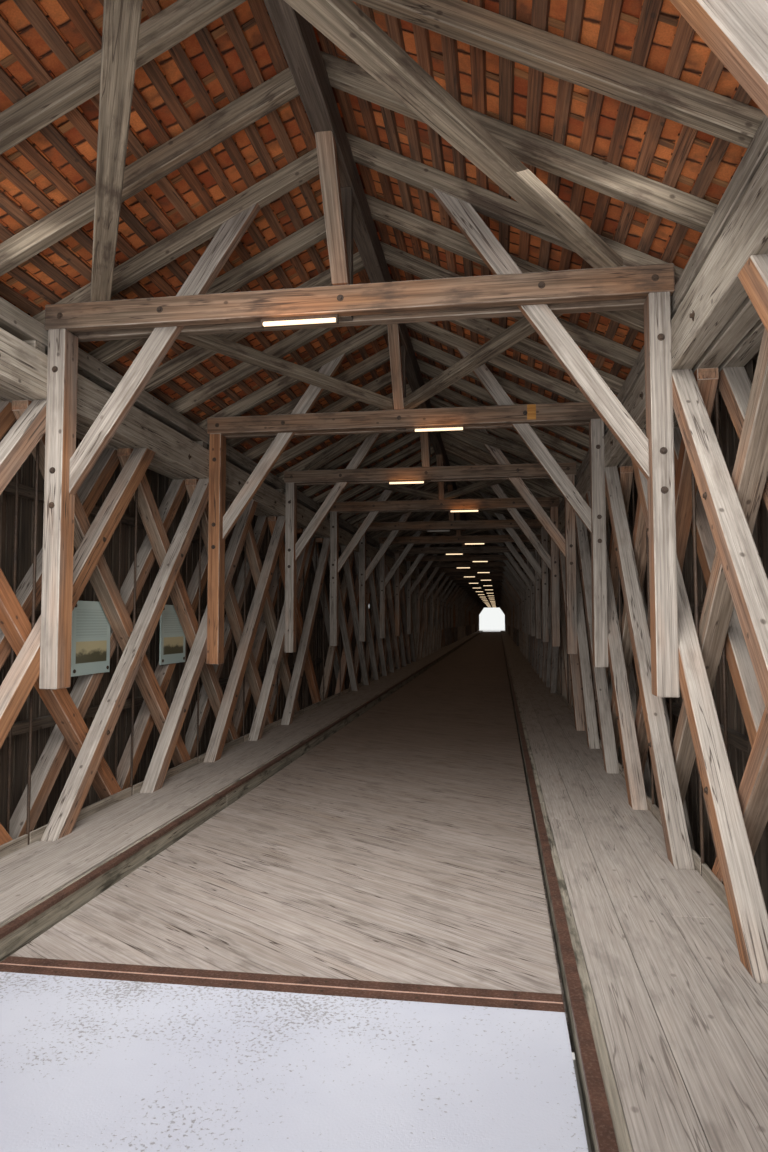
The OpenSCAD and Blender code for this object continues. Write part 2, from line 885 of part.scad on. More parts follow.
module wall_boards() {
  half = window_width / 2;
  count = len(window_bays);
  color(dark_wood)
    both_sides() {
    for (n = [0 : count]) {
      ya = n == 0 ? -chord_end : bay_y(window_bays[n - 1]) + half;
      yb = n == count ? chord_end : bay_y(window_bays[n]) - half;
      wall_panel(board_in, ya, yb, board_z, board_top);
    }
    for (b = window_bays) {
      wall_panel(board_in, bay_y(b) - half, bay_y(b) + half, board_z, rd + window_sill);
      wall_panel(board_in, bay_y(b) - half, bay_y(b) + half, rd + window_sill + window_height, board_top);
    }
  }
}

// Studs and rails of one wall, halved into one frame.
module wall_frame_right() {
  color(dark_wood) {
    for (z = rail_levels)
      block([board_in - rail_depth, -chord_end, rd + z - rail_height / 2],
            [board_in, chord_end, rd + z + rail_height / 2]);
    for (k = [0 : bay_count])
      block([truss_out, bay_y(k) - stud_width / 2, bottom_chord_z],
            [truss_out + stud_depth, bay_y(k) + stud_width / 2, top_chord_z + top_chord_depth - stud_top_drop]);
  }
}

module wall_frame_left() {
  mirror([1, 0, 0])
    wall_frame_right();
}

// Boarding of a portal: a strip beside the opening, a corner over its cut corner and the gable between.
module portal_front_2d() {
  inner = portal_half - portal_corner[0];
  top = rd + portal_rise;
  polygon([[portal_half, board_z], [board_out, board_z], [board_out, rafter_under(board_out)],
           [portal_half, rafter_under(portal_half)]]);
  polygon([[portal_half - panel_seam, top - portal_corner[1]], [portal_half - panel_seam, rafter_under(portal_half - panel_seam)],
           [inner, rafter_under(inner)], [inner, top]]);
  polygon([[0, top], [inner - panel_seam, top], [inner - panel_seam, rafter_under(inner - panel_seam)],
           [0, rafter_z]]);
}

module portal_fronts() {
  color(dark_wood)
    both_ends()
      cross_profile(-chord_end - board_thickness, board_thickness)
        difference() {
          union() {
            portal_front_2d();
            mirror([1, 0])
              portal_front_2d();
          }
          translate([-ridge_purlin_width / 2 - fit_clearance, purlin_z - fit_clearance])
            square([ridge_purlin_width + 2 * fit_clearance, 2 * ridge_purlin_depth]);
          for (side = [-1, 1])
            translate([side * (plate_inner + plate_width / 2) - plate_width / 2 - fit_clearance, plate_z - fit_clearance])
              square([plate_width + 2 * fit_clearance, plate_depth + 2 * fit_clearance]);
        }
}

module barge_boards() {
  color(dark_wood)
    both_ends()
      both_sides()
        cross_profile(-chord_end - verge_overhang - barge_thickness, barge_thickness)
          intersection() {
            on_slope()
              translate([-barge_depth, -barge_depth])
                square([slope_length + barge_depth, barge_depth + batten_thickness]);
            translate([slope_seam, 0])
              square([rafter_end, 3 * rd]);
          }
}

// Fittings

module tube_lamps() {
  color(glow)
    for (k = [1 : bay_count - 1]) {
      x = k % 2 == 0 ? -lamp_left : lamp_right;
      y = bay_y(k) - tie_thickness;
      block([x - lamp_length / 2, y - lamp_width / 2, tie_z - lamp_height],
            [x + lamp_length / 2, y + lamp_width / 2, tie_z]);
    }
}

// Boards on the inner faces of the outer braces, in the gap that the rods pass through.
module info_boards() {
  face = -truss_in - 2 * plane_step;
  color(stone)
    for (start = [info_board_first, info_board_second])
      block([face, y0 + start, rd + info_board_sill],
            [face + info_board_thickness, y0 + start + info_board_width, rd + info_board_sill + info_board_height]);
}

abutments();
river_piers();
bearing_sleepers();
bottom_chords();
top_chords();
support_posts();
main_braces_left();
main_braces_right();
counter_braces_left();
counter_braces_right();
bearing_blocks();
iron_rods();
floor_beams();
stringers();
road_deck();
approach_slabs();
expansion_joints();
walk_framing();
sidewalks();
curb_angles();
kick_boards();
tie_beams();
hanging_posts_left();
hanging_posts_right();
knee_braces_left();
knee_braces_right();
ridge_posts();
ridge_struts();
wind_braces();
ridge_purlin();
wall_plates();
rafters_left();
rafters_right();
battens();
roof_cover();
ridge_tiles();
wall_boards();
wall_frame_left();
wall_frame_right();
portal_fronts();
barge_boards();
tube_lamps();
info_boards();
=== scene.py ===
"""Looks of a covered timber road bridge, a scale model at one tenth of full size.

Each sub-assembly is a class that builds its timbers as arrays of prisms in millimetres of the model.
Every timber carries its own grain direction and shade, which the timber finishes read.
"""

from __future__ import annotations

import logging
import math
from dataclasses import dataclass, field
from enum import Enum
from typing import Iterable, Mapping, Sequence

import bpy
import numpy as np
from mathutils import Matrix, Vector


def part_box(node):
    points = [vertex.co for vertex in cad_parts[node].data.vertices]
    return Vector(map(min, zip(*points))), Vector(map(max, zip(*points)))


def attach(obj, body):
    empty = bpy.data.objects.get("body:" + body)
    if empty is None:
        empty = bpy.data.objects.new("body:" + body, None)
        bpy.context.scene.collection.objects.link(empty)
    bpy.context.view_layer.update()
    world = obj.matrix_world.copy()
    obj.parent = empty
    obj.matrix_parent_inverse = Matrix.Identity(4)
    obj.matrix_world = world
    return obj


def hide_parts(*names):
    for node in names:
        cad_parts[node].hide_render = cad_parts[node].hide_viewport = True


LOG = logging.getLogger("bridge")
MM = 0.001
ROOT = "root"
TINY = 1e-20  # keeps the length of a vector from being nought
TOUCH = 1e-9  # a corner nearer than this to a cutting line lies on it
RUBBED_WIDTH = 1.6  # a face narrower than this is a rubbed edge
END_CUT = 0.9  # share of the grain along the normal from which a face is an end cut
PORES = 12.0  # shortens the streaks of an end cut to pores
Array = np.ndarray
Numbers = float | Array
Outlines = Array | Sequence[Array]
Direction = Array | tuple[float, float, float]
Input = float | tuple[float, ...] | bpy.types.NodeSocket
Span = tuple[float, float]
Finish = bpy.types.Material
BLEND = {"out": 2, "data_type": "RGBA"}  # a Mix node for colours


@dataclass(frozen=True)
class BridgeSizes:
    """Sizes of the bridge in millimetres of the model, as in the part's source."""

    spans: int = 4
    bays_per_span: int = 10
    bay: float = 337.5
    road: float = 600.0
    overhang: float = 15.0
    end_post: float = 24.0
    truss_in: float = 232.0
    beam: float = 14.0
    gap: float = 3.0
    top_chord: Span = (958.0, 992.0)
    bottom_chord: Span = (546.0, 586.0)
    brace_depth: float = 16.0
    block: Span = (24.0, 8.0)
    post_half: float = 9.0
    rod_clear: float = 1.5
    floor_beam: Span = (510.0, 546.0)
    deck: tuple[float, float, float] = (576.0, 590.0, 600.0)
    road_left: float = 157.5
    road_right: float = 142.0
    walk: Span = (609.0, 614.0)
    curb_face: float = 2.7
    curb: float = 9.5
    steel: float = 1.2
    kick_top: float = 622.0
    joint: float = 513.0
    joint_half: float = 9.0
    joint_slot: float = 1.6
    core_setback: float = 30.0
    tie: Span = (1012.0, 1032.0)
    tie_half_gap: float = 5.0
    tie_thick: float = 10.0
    hanging_foot: float = 734.0
    hanging_width: float = 14.5
    knee_z: float = 898.0
    knee_slope: float = 1.47
    knee_depth: float = 15.0
    ridge_post: float = 12.0
    strut_lean: float = 54.0
    strut_setback: float = 11.4
    wind: tuple[float, float, float] = (200.0, 14.0, 10.0)
    purlin_half: float = 7.0
    purlin_height: float = 26.0
    purlin_lift: float = 1.5
    pitch: float = math.radians(27.0)
    rafter_z: float = 1140.0
    rafter_depth: float = 14.0
    rafters_per_bay: int = 4
    eaves: float = 352.0
    verge: float = 60.0
    plate: tuple[float, float, float, float] = (235.0, 253.0, 1001.0, 1016.0)
    batten: tuple[float, float, float] = (18.0, 8.0, 3.5)
    batten_start: float = 4.0
    cover: float = 4.0
    lamp_x: Span = (-32.0, 46.0)
    board_in: float = 295.0
    board_out: float = 298.0
    board_z: float = 534.0
    rails: tuple[float, ...] = (551.0, 695.0, 797.0, 897.0, 976.0)
    rail_half: float = 4.5
    rail_in: float = 287.0
    stud: Span = (280.0, 287.0)
    window: tuple[float, float, float] = (30.0, 812.0, 882.0)
    window_bays: tuple[float, ...] = (7.5, 12.5, 17.5, 22.5, 27.5, 32.5)
    portal_half: float = 219.5
    portal_top: float = 1010.0
    portal_corner: Span = (62.0, 68.0)

    @property
    def bays(self) -> int:
        """Bays from end to end."""
        return self.spans * self.bays_per_span

    @property
    def panels(self) -> int:
        """Truss panels from end to end."""
        return 2 * self.bays

    @property
    def half(self) -> float:
        """Half the length between the outermost panel points."""
        return self.bays * self.bay / 2

    @property
    def chord_end(self) -> float:
        """Distance from the middle to the end of a chord."""
        return self.half + self.overhang

    @property
    def verge_end(self) -> float:
        """Distance from the middle to the end of the battens."""
        return self.chord_end + self.verge

    @property
    def joint_y(self) -> float:
        """Distance from the middle to the steel joint in the road."""
        return self.half - self.joint

    @property
    def truss_out(self) -> float:
        """Outer face of a truss."""
        return self.truss_in + 3 * self.beam + 2 * self.gap

    @property
    def purlin(self) -> Span:
        """Underside and top of the ridge purlin."""
        top = self.rafter_z - math.tan(self.pitch) * self.purlin_half + self.purlin_lift
        return top - self.purlin_height, top

    @property
    def slope_length(self) -> float:
        """Length of the batten field down one slope."""
        return (self.eaves - self.batten_start) / math.cos(self.pitch)

    @property
    def batten_count(self) -> int:
        """Battens on one slope."""
        return int((self.slope_length - self.batten[1]) / self.batten[0]) + 1

    def panel_y(self, i: Numbers) -> Array:
        """Place of a panel point along the bridge."""
        return -self.half + np.asarray(i, float) * self.bay / 2

    def bay_y(self, k: Numbers) -> Array:
        """Place of a tie along the bridge."""
        return -self.half + np.asarray(k, float) * self.bay

    def lamp_centre(self, k: Numbers) -> Array:
        """Middle of the lamp on a tie, across the bridge; the lamps alternate."""
        return np.where(np.asarray(k) % 2 == 0, *self.lamp_x)

    def under(self, x: Numbers) -> Array:
        """Underside of the rafters at a distance from the centre line."""
        return self.rafter_z - math.tan(self.pitch) * np.abs(x)


class Plane(Enum):
    """Plane in which an outline is drawn; the prism runs square to it."""

    ACROSS_X = 0
    ALONG_Y = 1
    UP_Z = 2

    def place(self, flat: Array, height: Array) -> Array:
        """Turns outline points and heights into points of the frame.

        Args:
            flat: outline points, shape (..., 2).
            height: distance along the prism, shape (...).

        Returns:
            Points, shape (..., 3).
        """
        a, b = flat[..., 0], flat[..., 1]
        order = {
            Plane.ACROSS_X: (height, a, b),
            Plane.ALONG_Y: (a, height, b),
            Plane.UP_Z: (a, b, height),
        }[self]
        return np.stack(np.broadcast_arrays(*order), axis=-1)

    def axis(self) -> tuple[float, float, float]:
        """Direction in which the prism runs."""
        return tuple(float(n == self.value) for n in range(3))


class Side(Enum):
    """Side of the centre line."""

    RIGHT = 1
    LEFT = -1

    def turned(self, stock: "Stock") -> "Stock":
        """Timbers drawn on the right, brought to this side."""
        return stock if self is Side.RIGHT else stock.mirrored()


def rectangles(a0: Numbers, a1: Numbers, b0: Numbers, b1: Numbers) -> Array:
    """Outlines of boxes.

    Args:
        a0: lower limit along the first axis, a number or one for each box.
        a1: upper limit along the first axis.
        b0: lower limit along the second axis.
        b1: upper limit along the second axis.

    Returns:
        Outlines, shape (boxes, 4, 2).
    """
    a0, a1, b0, b1 = np.broadcast_arrays(*(np.atleast_1d(np.asarray(v, float)) for v in (a0, a1, b0, b1)))
    return np.stack([a0, b0, a1, b0, a1, b1, a0, b1], axis=-1).reshape(-1, 4, 2)


def discs(radius: float, centres: Array, sides: int = 12) -> Array:
    """Round outlines: centre plus radius times (cos t, sin t).

    Args:
        radius: radius of every disc.
        centres: centres, shape (discs, 2).
        sides: corners of a disc.

    Returns:
        Outlines, shape (discs, sides, 2).
    """
    t = np.arange(sides) / sides * 2 * math.pi
    return np.asarray(centres, float).reshape(-1, 1, 2) + radius * np.stack([np.cos(t), np.sin(t)], axis=-1)


def chamfered(outlines: Array, by: float = 0.7) -> Array:
    """Outlines with each corner cut off, so that a timber has the rubbed edges of a sawn one.

    Each corner p becomes the two points p + by * d, with d the unit directions to its neighbours.

    Args:
        outlines: outlines, shape (n, k, 2).
        by: distance that the cut takes from each edge.

    Returns:
        Outlines, shape (n, 2 k, 2).
    """
    ahead = np.roll(outlines, -1, axis=1) - outlines
    ahead /= np.linalg.norm(ahead, axis=2, keepdims=True)
    behind = -np.roll(ahead, 1, axis=1)
    pairs = np.stack([outlines + by * behind, outlines + by * ahead], axis=2)
    return pairs.reshape(len(outlines), -1, 2)


def clipped(outline: Array, normal: Span, limit: float) -> Array:
    """Part of a convex outline where normal . point is at most limit.

    Args:
        outline: corners in order, shape (k, 2).
        normal: normal of the cutting line.
        limit: distance of the cutting line along the normal.

    Returns:
        The corners that are left.
    """
    kept: list[Array] = []
    side = outline @ np.asarray(normal, float) - limit
    for i, point in enumerate(outline):
        j = (i + 1) % len(outline)
        if side[i] <= TOUCH:
            kept.append(point)
        if side[i] * side[j] < 0 and min(abs(side[i]), abs(side[j])) > TOUCH:
            kept.append(point + (outline[j] - point) * side[i] / (side[i] - side[j]))
    return np.array(kept).reshape(-1, 2)


def inset(outlines: Array, by: float) -> Array:
    """Outlines drawn in: each corner moves along its mitre, the sum of its two inward normals.

    Args:
        outlines: outlines, shape (n, k, 2), anticlockwise.
        by: distance that every edge moves inwards.

    Returns:
        Outlines of the same shape.
    """
    edge = np.roll(outlines, -1, axis=1) - outlines
    edge /= np.linalg.norm(edge, axis=2, keepdims=True)
    inward = np.stack([-edge[..., 1], edge[..., 0]], axis=-1)
    before = np.roll(inward, 1, axis=1)
    scale = 1.0 + (before * inward).sum(axis=2, keepdims=True)
    return outlines + by * (before + inward) / scale


def cut_lengths(piece: float, shift: float, low: float, high: float, seam: float = 0.1,
                shortest: float = 40.0) -> Array:
    """Cuts a long line of timber into pieces.

    Args:
        piece: length of one timber.
        shift: place of the first joint after the start.
        low: start of the line.
        high: end of the line.
        seam: half of the seam between two timbers.
        shortest: length under which no end piece is cut off.

    Returns:
        Rows of start and end.
    """
    inner = np.arange(low + shift, high - shortest, piece)
    inner = inner[inner > low + shortest]
    cuts = np.concatenate([[low - seam], inner, [high + seam]])
    return np.stack([cuts[:-1] + seam, cuts[1:] - seam], axis=1)


@dataclass
class Stock:
    """Timbers or other prisms gathered as arrays, with a grain direction and a shade for each."""

    seed: int
    points: list[Array] = field(default_factory=list)
    faces: list[Array] = field(default_factory=list)
    owners: list[Array] = field(default_factory=list)
    rubbed: list[Array] = field(default_factory=list)
    centres: list[Array] = field(default_factory=list)
    grains: list[Array] = field(default_factory=list)
    fresh: list[Array] = field(default_factory=list)
    count: int = 0
    members: int = 0

    def add(self, outlines: Outlines, low: Numbers, high: Numbers, plane: Plane,
            grain: Direction | None = None, bevel: float = 0.7, fresh: Numbers = 0.0) -> None:
        """Adds one prism for each outline.

        Args:
            outlines: outlines of any corner counts, anticlockwise in their plane.
            low: start of each prism, a number or one for each.
            high: end of each prism.
            plane: plane of the outlines.
            grain: direction of the grain, one vector or one for each; None is along the prism.
            bevel: rubbed edge at both ends, in millimetres; 0 leaves them sharp.
            fresh: share of newer, warmer timber, a number or one for each.
        """
        total = len(outlines)
        low, high, fresh = (np.broadcast_to(np.asarray(v, float), total) for v in (low, high, fresh))
        grain = np.broadcast_to(np.asarray(plane.axis() if grain is None else grain, float), (total, 3))
        sizes = np.array([len(outline) for outline in outlines])
        for corners in np.unique(sizes):
            chosen = np.flatnonzero(sizes == corners)
            batch = np.stack([np.asarray(outlines[i], float) for i in chosen])
            ends = np.stack([low[chosen], high[chosen]], axis=1)
            self._batch(batch, ends, plane, grain[chosen], bevel, fresh[chosen])

    def run(self, shape: Array, cuts: Array, bevel: float = 0.7, fresh: Numbers = 0.0) -> None:
        """Adds one outline along the bridge, once for each length.

        Args:
            shape: outline in the XZ plane, shape (1, k, 2).
            cuts: rows of start and end.
            bevel: rubbed edge at both ends.
            fresh: share of newer timber, a number or one for each length.
        """
        low, high = cuts.T
        self.add(np.repeat(shape, len(cuts), 0), low, high, Plane.ALONG_Y, bevel=bevel, fresh=fresh)

    def _batch(self, flat: Array, ends: Array, plane: Plane, grain: Array, bevel: float,
               fresh: Array) -> None:
        """Adds prisms with one number of corners.

        Args:
            flat: outlines, shape (n, k, 2).
            ends: start and end of each prism, shape (n, 2).
            plane: plane of the outlines.
            grain: grain directions, shape (n, 3).
            bevel: rubbed edge at both ends.
            fresh: share of newer timber of each.
        """
        n, k = flat.shape[:2]
        low, high = ends.T
        rings, levels = [flat, flat], [low, high]
        if bevel > 0:
            small = inset(flat, bevel)
            rings, levels = [small, flat, flat, small], [low, low + bevel, high - bevel, high]
        r = len(rings)
        heights = np.repeat(np.stack(levels, axis=1)[:, :, None], k, axis=2)
        spots = plane.place(np.stack(rings, axis=1), heights)
        start = self.count + np.arange(n) * r * k
        i = np.arange(k)
        j = (i + 1) % k
        sides = np.concatenate([np.stack([q * k + i, q * k + j, (q + 1) * k + j, (q + 1) * k + i], axis=1)
                                for q in range(r - 1)])
        caps = np.stack([i[::-1], (r - 1) * k + i])
        if plane is Plane.ALONG_Y:
            sides, caps = sides[:, ::-1], caps[:, ::-1]
        narrow = (np.linalg.norm(flat[:, j] - flat[:, i], axis=2) < RUBBED_WIDTH).astype(float)
        bands = [narrow if r == 2 or q == 1 else np.ones_like(narrow) for q in range(r - 1)]
        owner = self.members + np.arange(n)
        base = start[:, None, None]
        self.faces += [(base + sides).reshape(-1, 4), (base + caps).reshape(-1, k)]
        self.owners += [np.repeat(owner, len(sides)), np.repeat(owner, 2)]
        self.rubbed += [np.concatenate(bands, axis=1).reshape(-1), np.zeros(2 * n)]
        self.points.append(spots.reshape(-1, 3))
        self.centres.append(spots.reshape(n, -1, 3).mean(axis=1))
        self.grains.append(grain / np.linalg.norm(grain, axis=1, keepdims=True))
        self.fresh.append(fresh)
        self.count += n * r * k
        self.members += n

    def mirrored(self) -> "Stock":
        """The same timbers on the other side of the centre line, with shades of their own."""
        flip = np.array([-1.0, 1.0, 1.0])
        return Stock(self.seed + 1, [p * flip for p in self.points], [f[:, ::-1] for f in self.faces],
                     list(self.owners), list(self.rubbed), [c * flip for c in self.centres],
                     [g * flip for g in self.grains], list(self.fresh), self.count, self.members)

    def joined(self, other: "Stock") -> "Stock":
        """Both stocks in one."""
        return Stock(self.seed, self.points + other.points,
                     self.faces + [f + self.count for f in other.faces],
                     self.owners + [o + self.members for o in other.owners], self.rubbed + other.rubbed,
                     self.centres + other.centres, self.grains + other.grains, self.fresh + other.fresh,
                     self.count + other.count, self.members + other.members)

    def doubled(self) -> "Stock":
        """The timbers together with their mirror image."""
        return self.joined(self.mirrored())

    def mesh(self, name: str) -> bpy.types.Mesh:
        """Writes the gathered faces as one mesh.

        The grain layer holds, in metres from the middle c of each timber, the distance along the
        grain, u = (p - c) . g, and across it in the face, v = (p - c) . (n x g). On an end cut g is
        a direction in the cut, and u is taken PORES times.

        Args:
            name: name of the mesh.

        Returns:
            The mesh, in metres.
        """
        points = np.concatenate(self.points) * MM
        centres = np.concatenate(self.centres) * MM
        grain = np.concatenate(self.grains)
        tint = np.random.default_rng(self.seed).random(self.members)
        lengths, corners, coords = [], [], []
        for face, owner in zip(self.faces, self.owners):
            spots = points[face]
            normal = np.cross(spots[:, 1] - spots[:, 0], spots[:, 2] - spots[:, 1])
            normal /= np.linalg.norm(normal, axis=1, keepdims=True) + TINY
            g = grain[owner]
            end_cut = np.abs((normal * g).sum(axis=1)) > END_CUT
            g = np.where(end_cut[:, None], np.roll(g, 1, axis=1), g)
            across = np.cross(normal, g)
            across /= np.linalg.norm(across, axis=1, keepdims=True) + TINY
            local = spots - centres[owner][:, None]
            u = (local * g[:, None]).sum(axis=2) * np.where(end_cut, PORES, 1.0)[:, None]
            v = (local * across[:, None]).sum(axis=2)
            coords.append(np.stack([u, v], axis=-1).reshape(-1, 2))
            corners.append(face.reshape(-1))
            lengths.append(np.full(len(face), face.shape[1]))
        lengths = np.concatenate(lengths)
        owners = np.concatenate(self.owners)
        mesh = bpy.data.meshes.new(name)
        mesh.vertices.add(len(points))
        mesh.vertices.foreach_set("co", points.astype(np.float32).ravel())
        mesh.loops.add(int(lengths.sum()))
        mesh.loops.foreach_set("vertex_index", np.concatenate(corners).astype(np.int32))
        mesh.polygons.add(len(lengths))
        starts = np.concatenate([[0], np.cumsum(lengths)[:-1]])
        mesh.polygons.foreach_set("loop_start", starts.astype(np.int32))
        layer = mesh.uv_layers.new(name="grain")
        layer.data.foreach_set("uv", np.concatenate(coords).astype(np.float32).ravel())
        shares = {
            "tint": tint[owners],
            "fresh": np.concatenate(self.fresh)[owners],
            "rubbed": np.concatenate(self.rubbed),
        }
        for label, values in shares.items():
            attribute = mesh.attributes.new(label, "FLOAT", "FACE")
            attribute.data.foreach_set("value", values.astype(np.float32))
        mesh.update(calc_edges=True)
        mesh.validate()
        return mesh


def place(name: str, stock: Stock, finish: Finish, replaces: Iterable[str] | None = None,
          smooth: bool = False) -> bpy.types.Object:
    """Makes a piece of the gathered stock and lets it ride on the bridge.

    Args:
        name: name of the piece.
        stock: prisms of the piece.
        finish: material.
        replaces: solids that the piece stands for; None is the one named before the dot, if any.
        smooth: whether its faces are shaded smooth.

    Returns:
        The object.
    """
    if replaces is None:
        replaces = name.split(".")[:-1]
    mesh = stock.mesh(name)
    mesh.materials.append(finish)
    if smooth:
        mesh.shade_smooth()
    else:
        mesh.shade_flat()
    piece = bpy.data.objects.new(name, mesh)
    bpy.context.scene.collection.objects.link(piece)
    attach(piece, ROOT)
    if replaces:
        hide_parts(*replaces)
    LOG.info("%s: %d members, %d faces", name, stock.members, len(mesh.polygons))
    return piece


# Finishes


def linear(code: str) -> tuple[float, float, float, float]:
    """Turns an sRGB hex code into a linear colour.

    A part c of the code goes to c / 12.92 up to 0.04045, and above it to ((c + 0.055) / 1.055)^2.4.

    Args:
        code: colour as a number sign and six hex digits.

    Returns:
        Red, green, blue and an alpha of 1.
    """
    parts = np.array([int(code[i : i + 2], 16) / 255.0 for i in (1, 3, 5)])
    out = np.where(parts <= 0.04045, parts / 12.92, ((parts + 0.055) / 1.055) ** 2.4)
    return (float(out[0]), float(out[1]), float(out[2]), 1.0)


class Nodes:
    """A small hand for building a material's nodes."""

    def __init__(self, name: str) -> None:
        """Starts a material with its shader.

        Args:
            name: name of the material.
        """
        self.material = bpy.data.materials.new(name)
        self.material.use_nodes = True
        self.tree = self.material.node_tree
        self.shader = self.tree.nodes["Principled BSDF"]

    def add(self, kind: str, inputs: Mapping[int, Input] | None = None, out: int | str = 0,
            **settings: object) -> bpy.types.NodeSocket:
        """Adds a node with its settings and links.

        Args:
            kind: node type after the word ShaderNode.
            inputs: for the place of an input, the socket it is linked to or its value.
            out: output that is wanted.
            settings: properties of the node.

        Returns:
            The wanted output socket.
        """
        node = self.tree.nodes.new("ShaderNode" + kind)
        for key, value in settings.items():
            setattr(node, key, value)
        for index, value in (inputs or {}).items():
            if isinstance(value, bpy.types.NodeSocket):
                self.tree.links.new(value, node.inputs[index])
            else:
                node.inputs[index].default_value = value
        return node.outputs[out]

    def finish(self, colour: Input, roughness: Input, height: Input, depth: float,
               metallic: float = 0.0) -> Finish:
        """Joins the patterns to the shader.

        Args:
            colour: base colour.
            roughness: roughness.
            height: relief, from 0 to 1.
            depth: depth of the relief in metres.
            metallic: share of metal.

        Returns:
            The material.
        """
        bump = self.add("Bump", {0: 0.6, 1: depth, 3: height})
        for label, value in (("Base Color", colour), ("Roughness", roughness), ("Normal", bump)):
            if isinstance(value, bpy.types.NodeSocket):
                self.tree.links.new(value, self.shader.inputs[label])
            else:
                self.shader.inputs[label].default_value = value
        self.shader.inputs["Metallic"].default_value = metallic
        return self.material


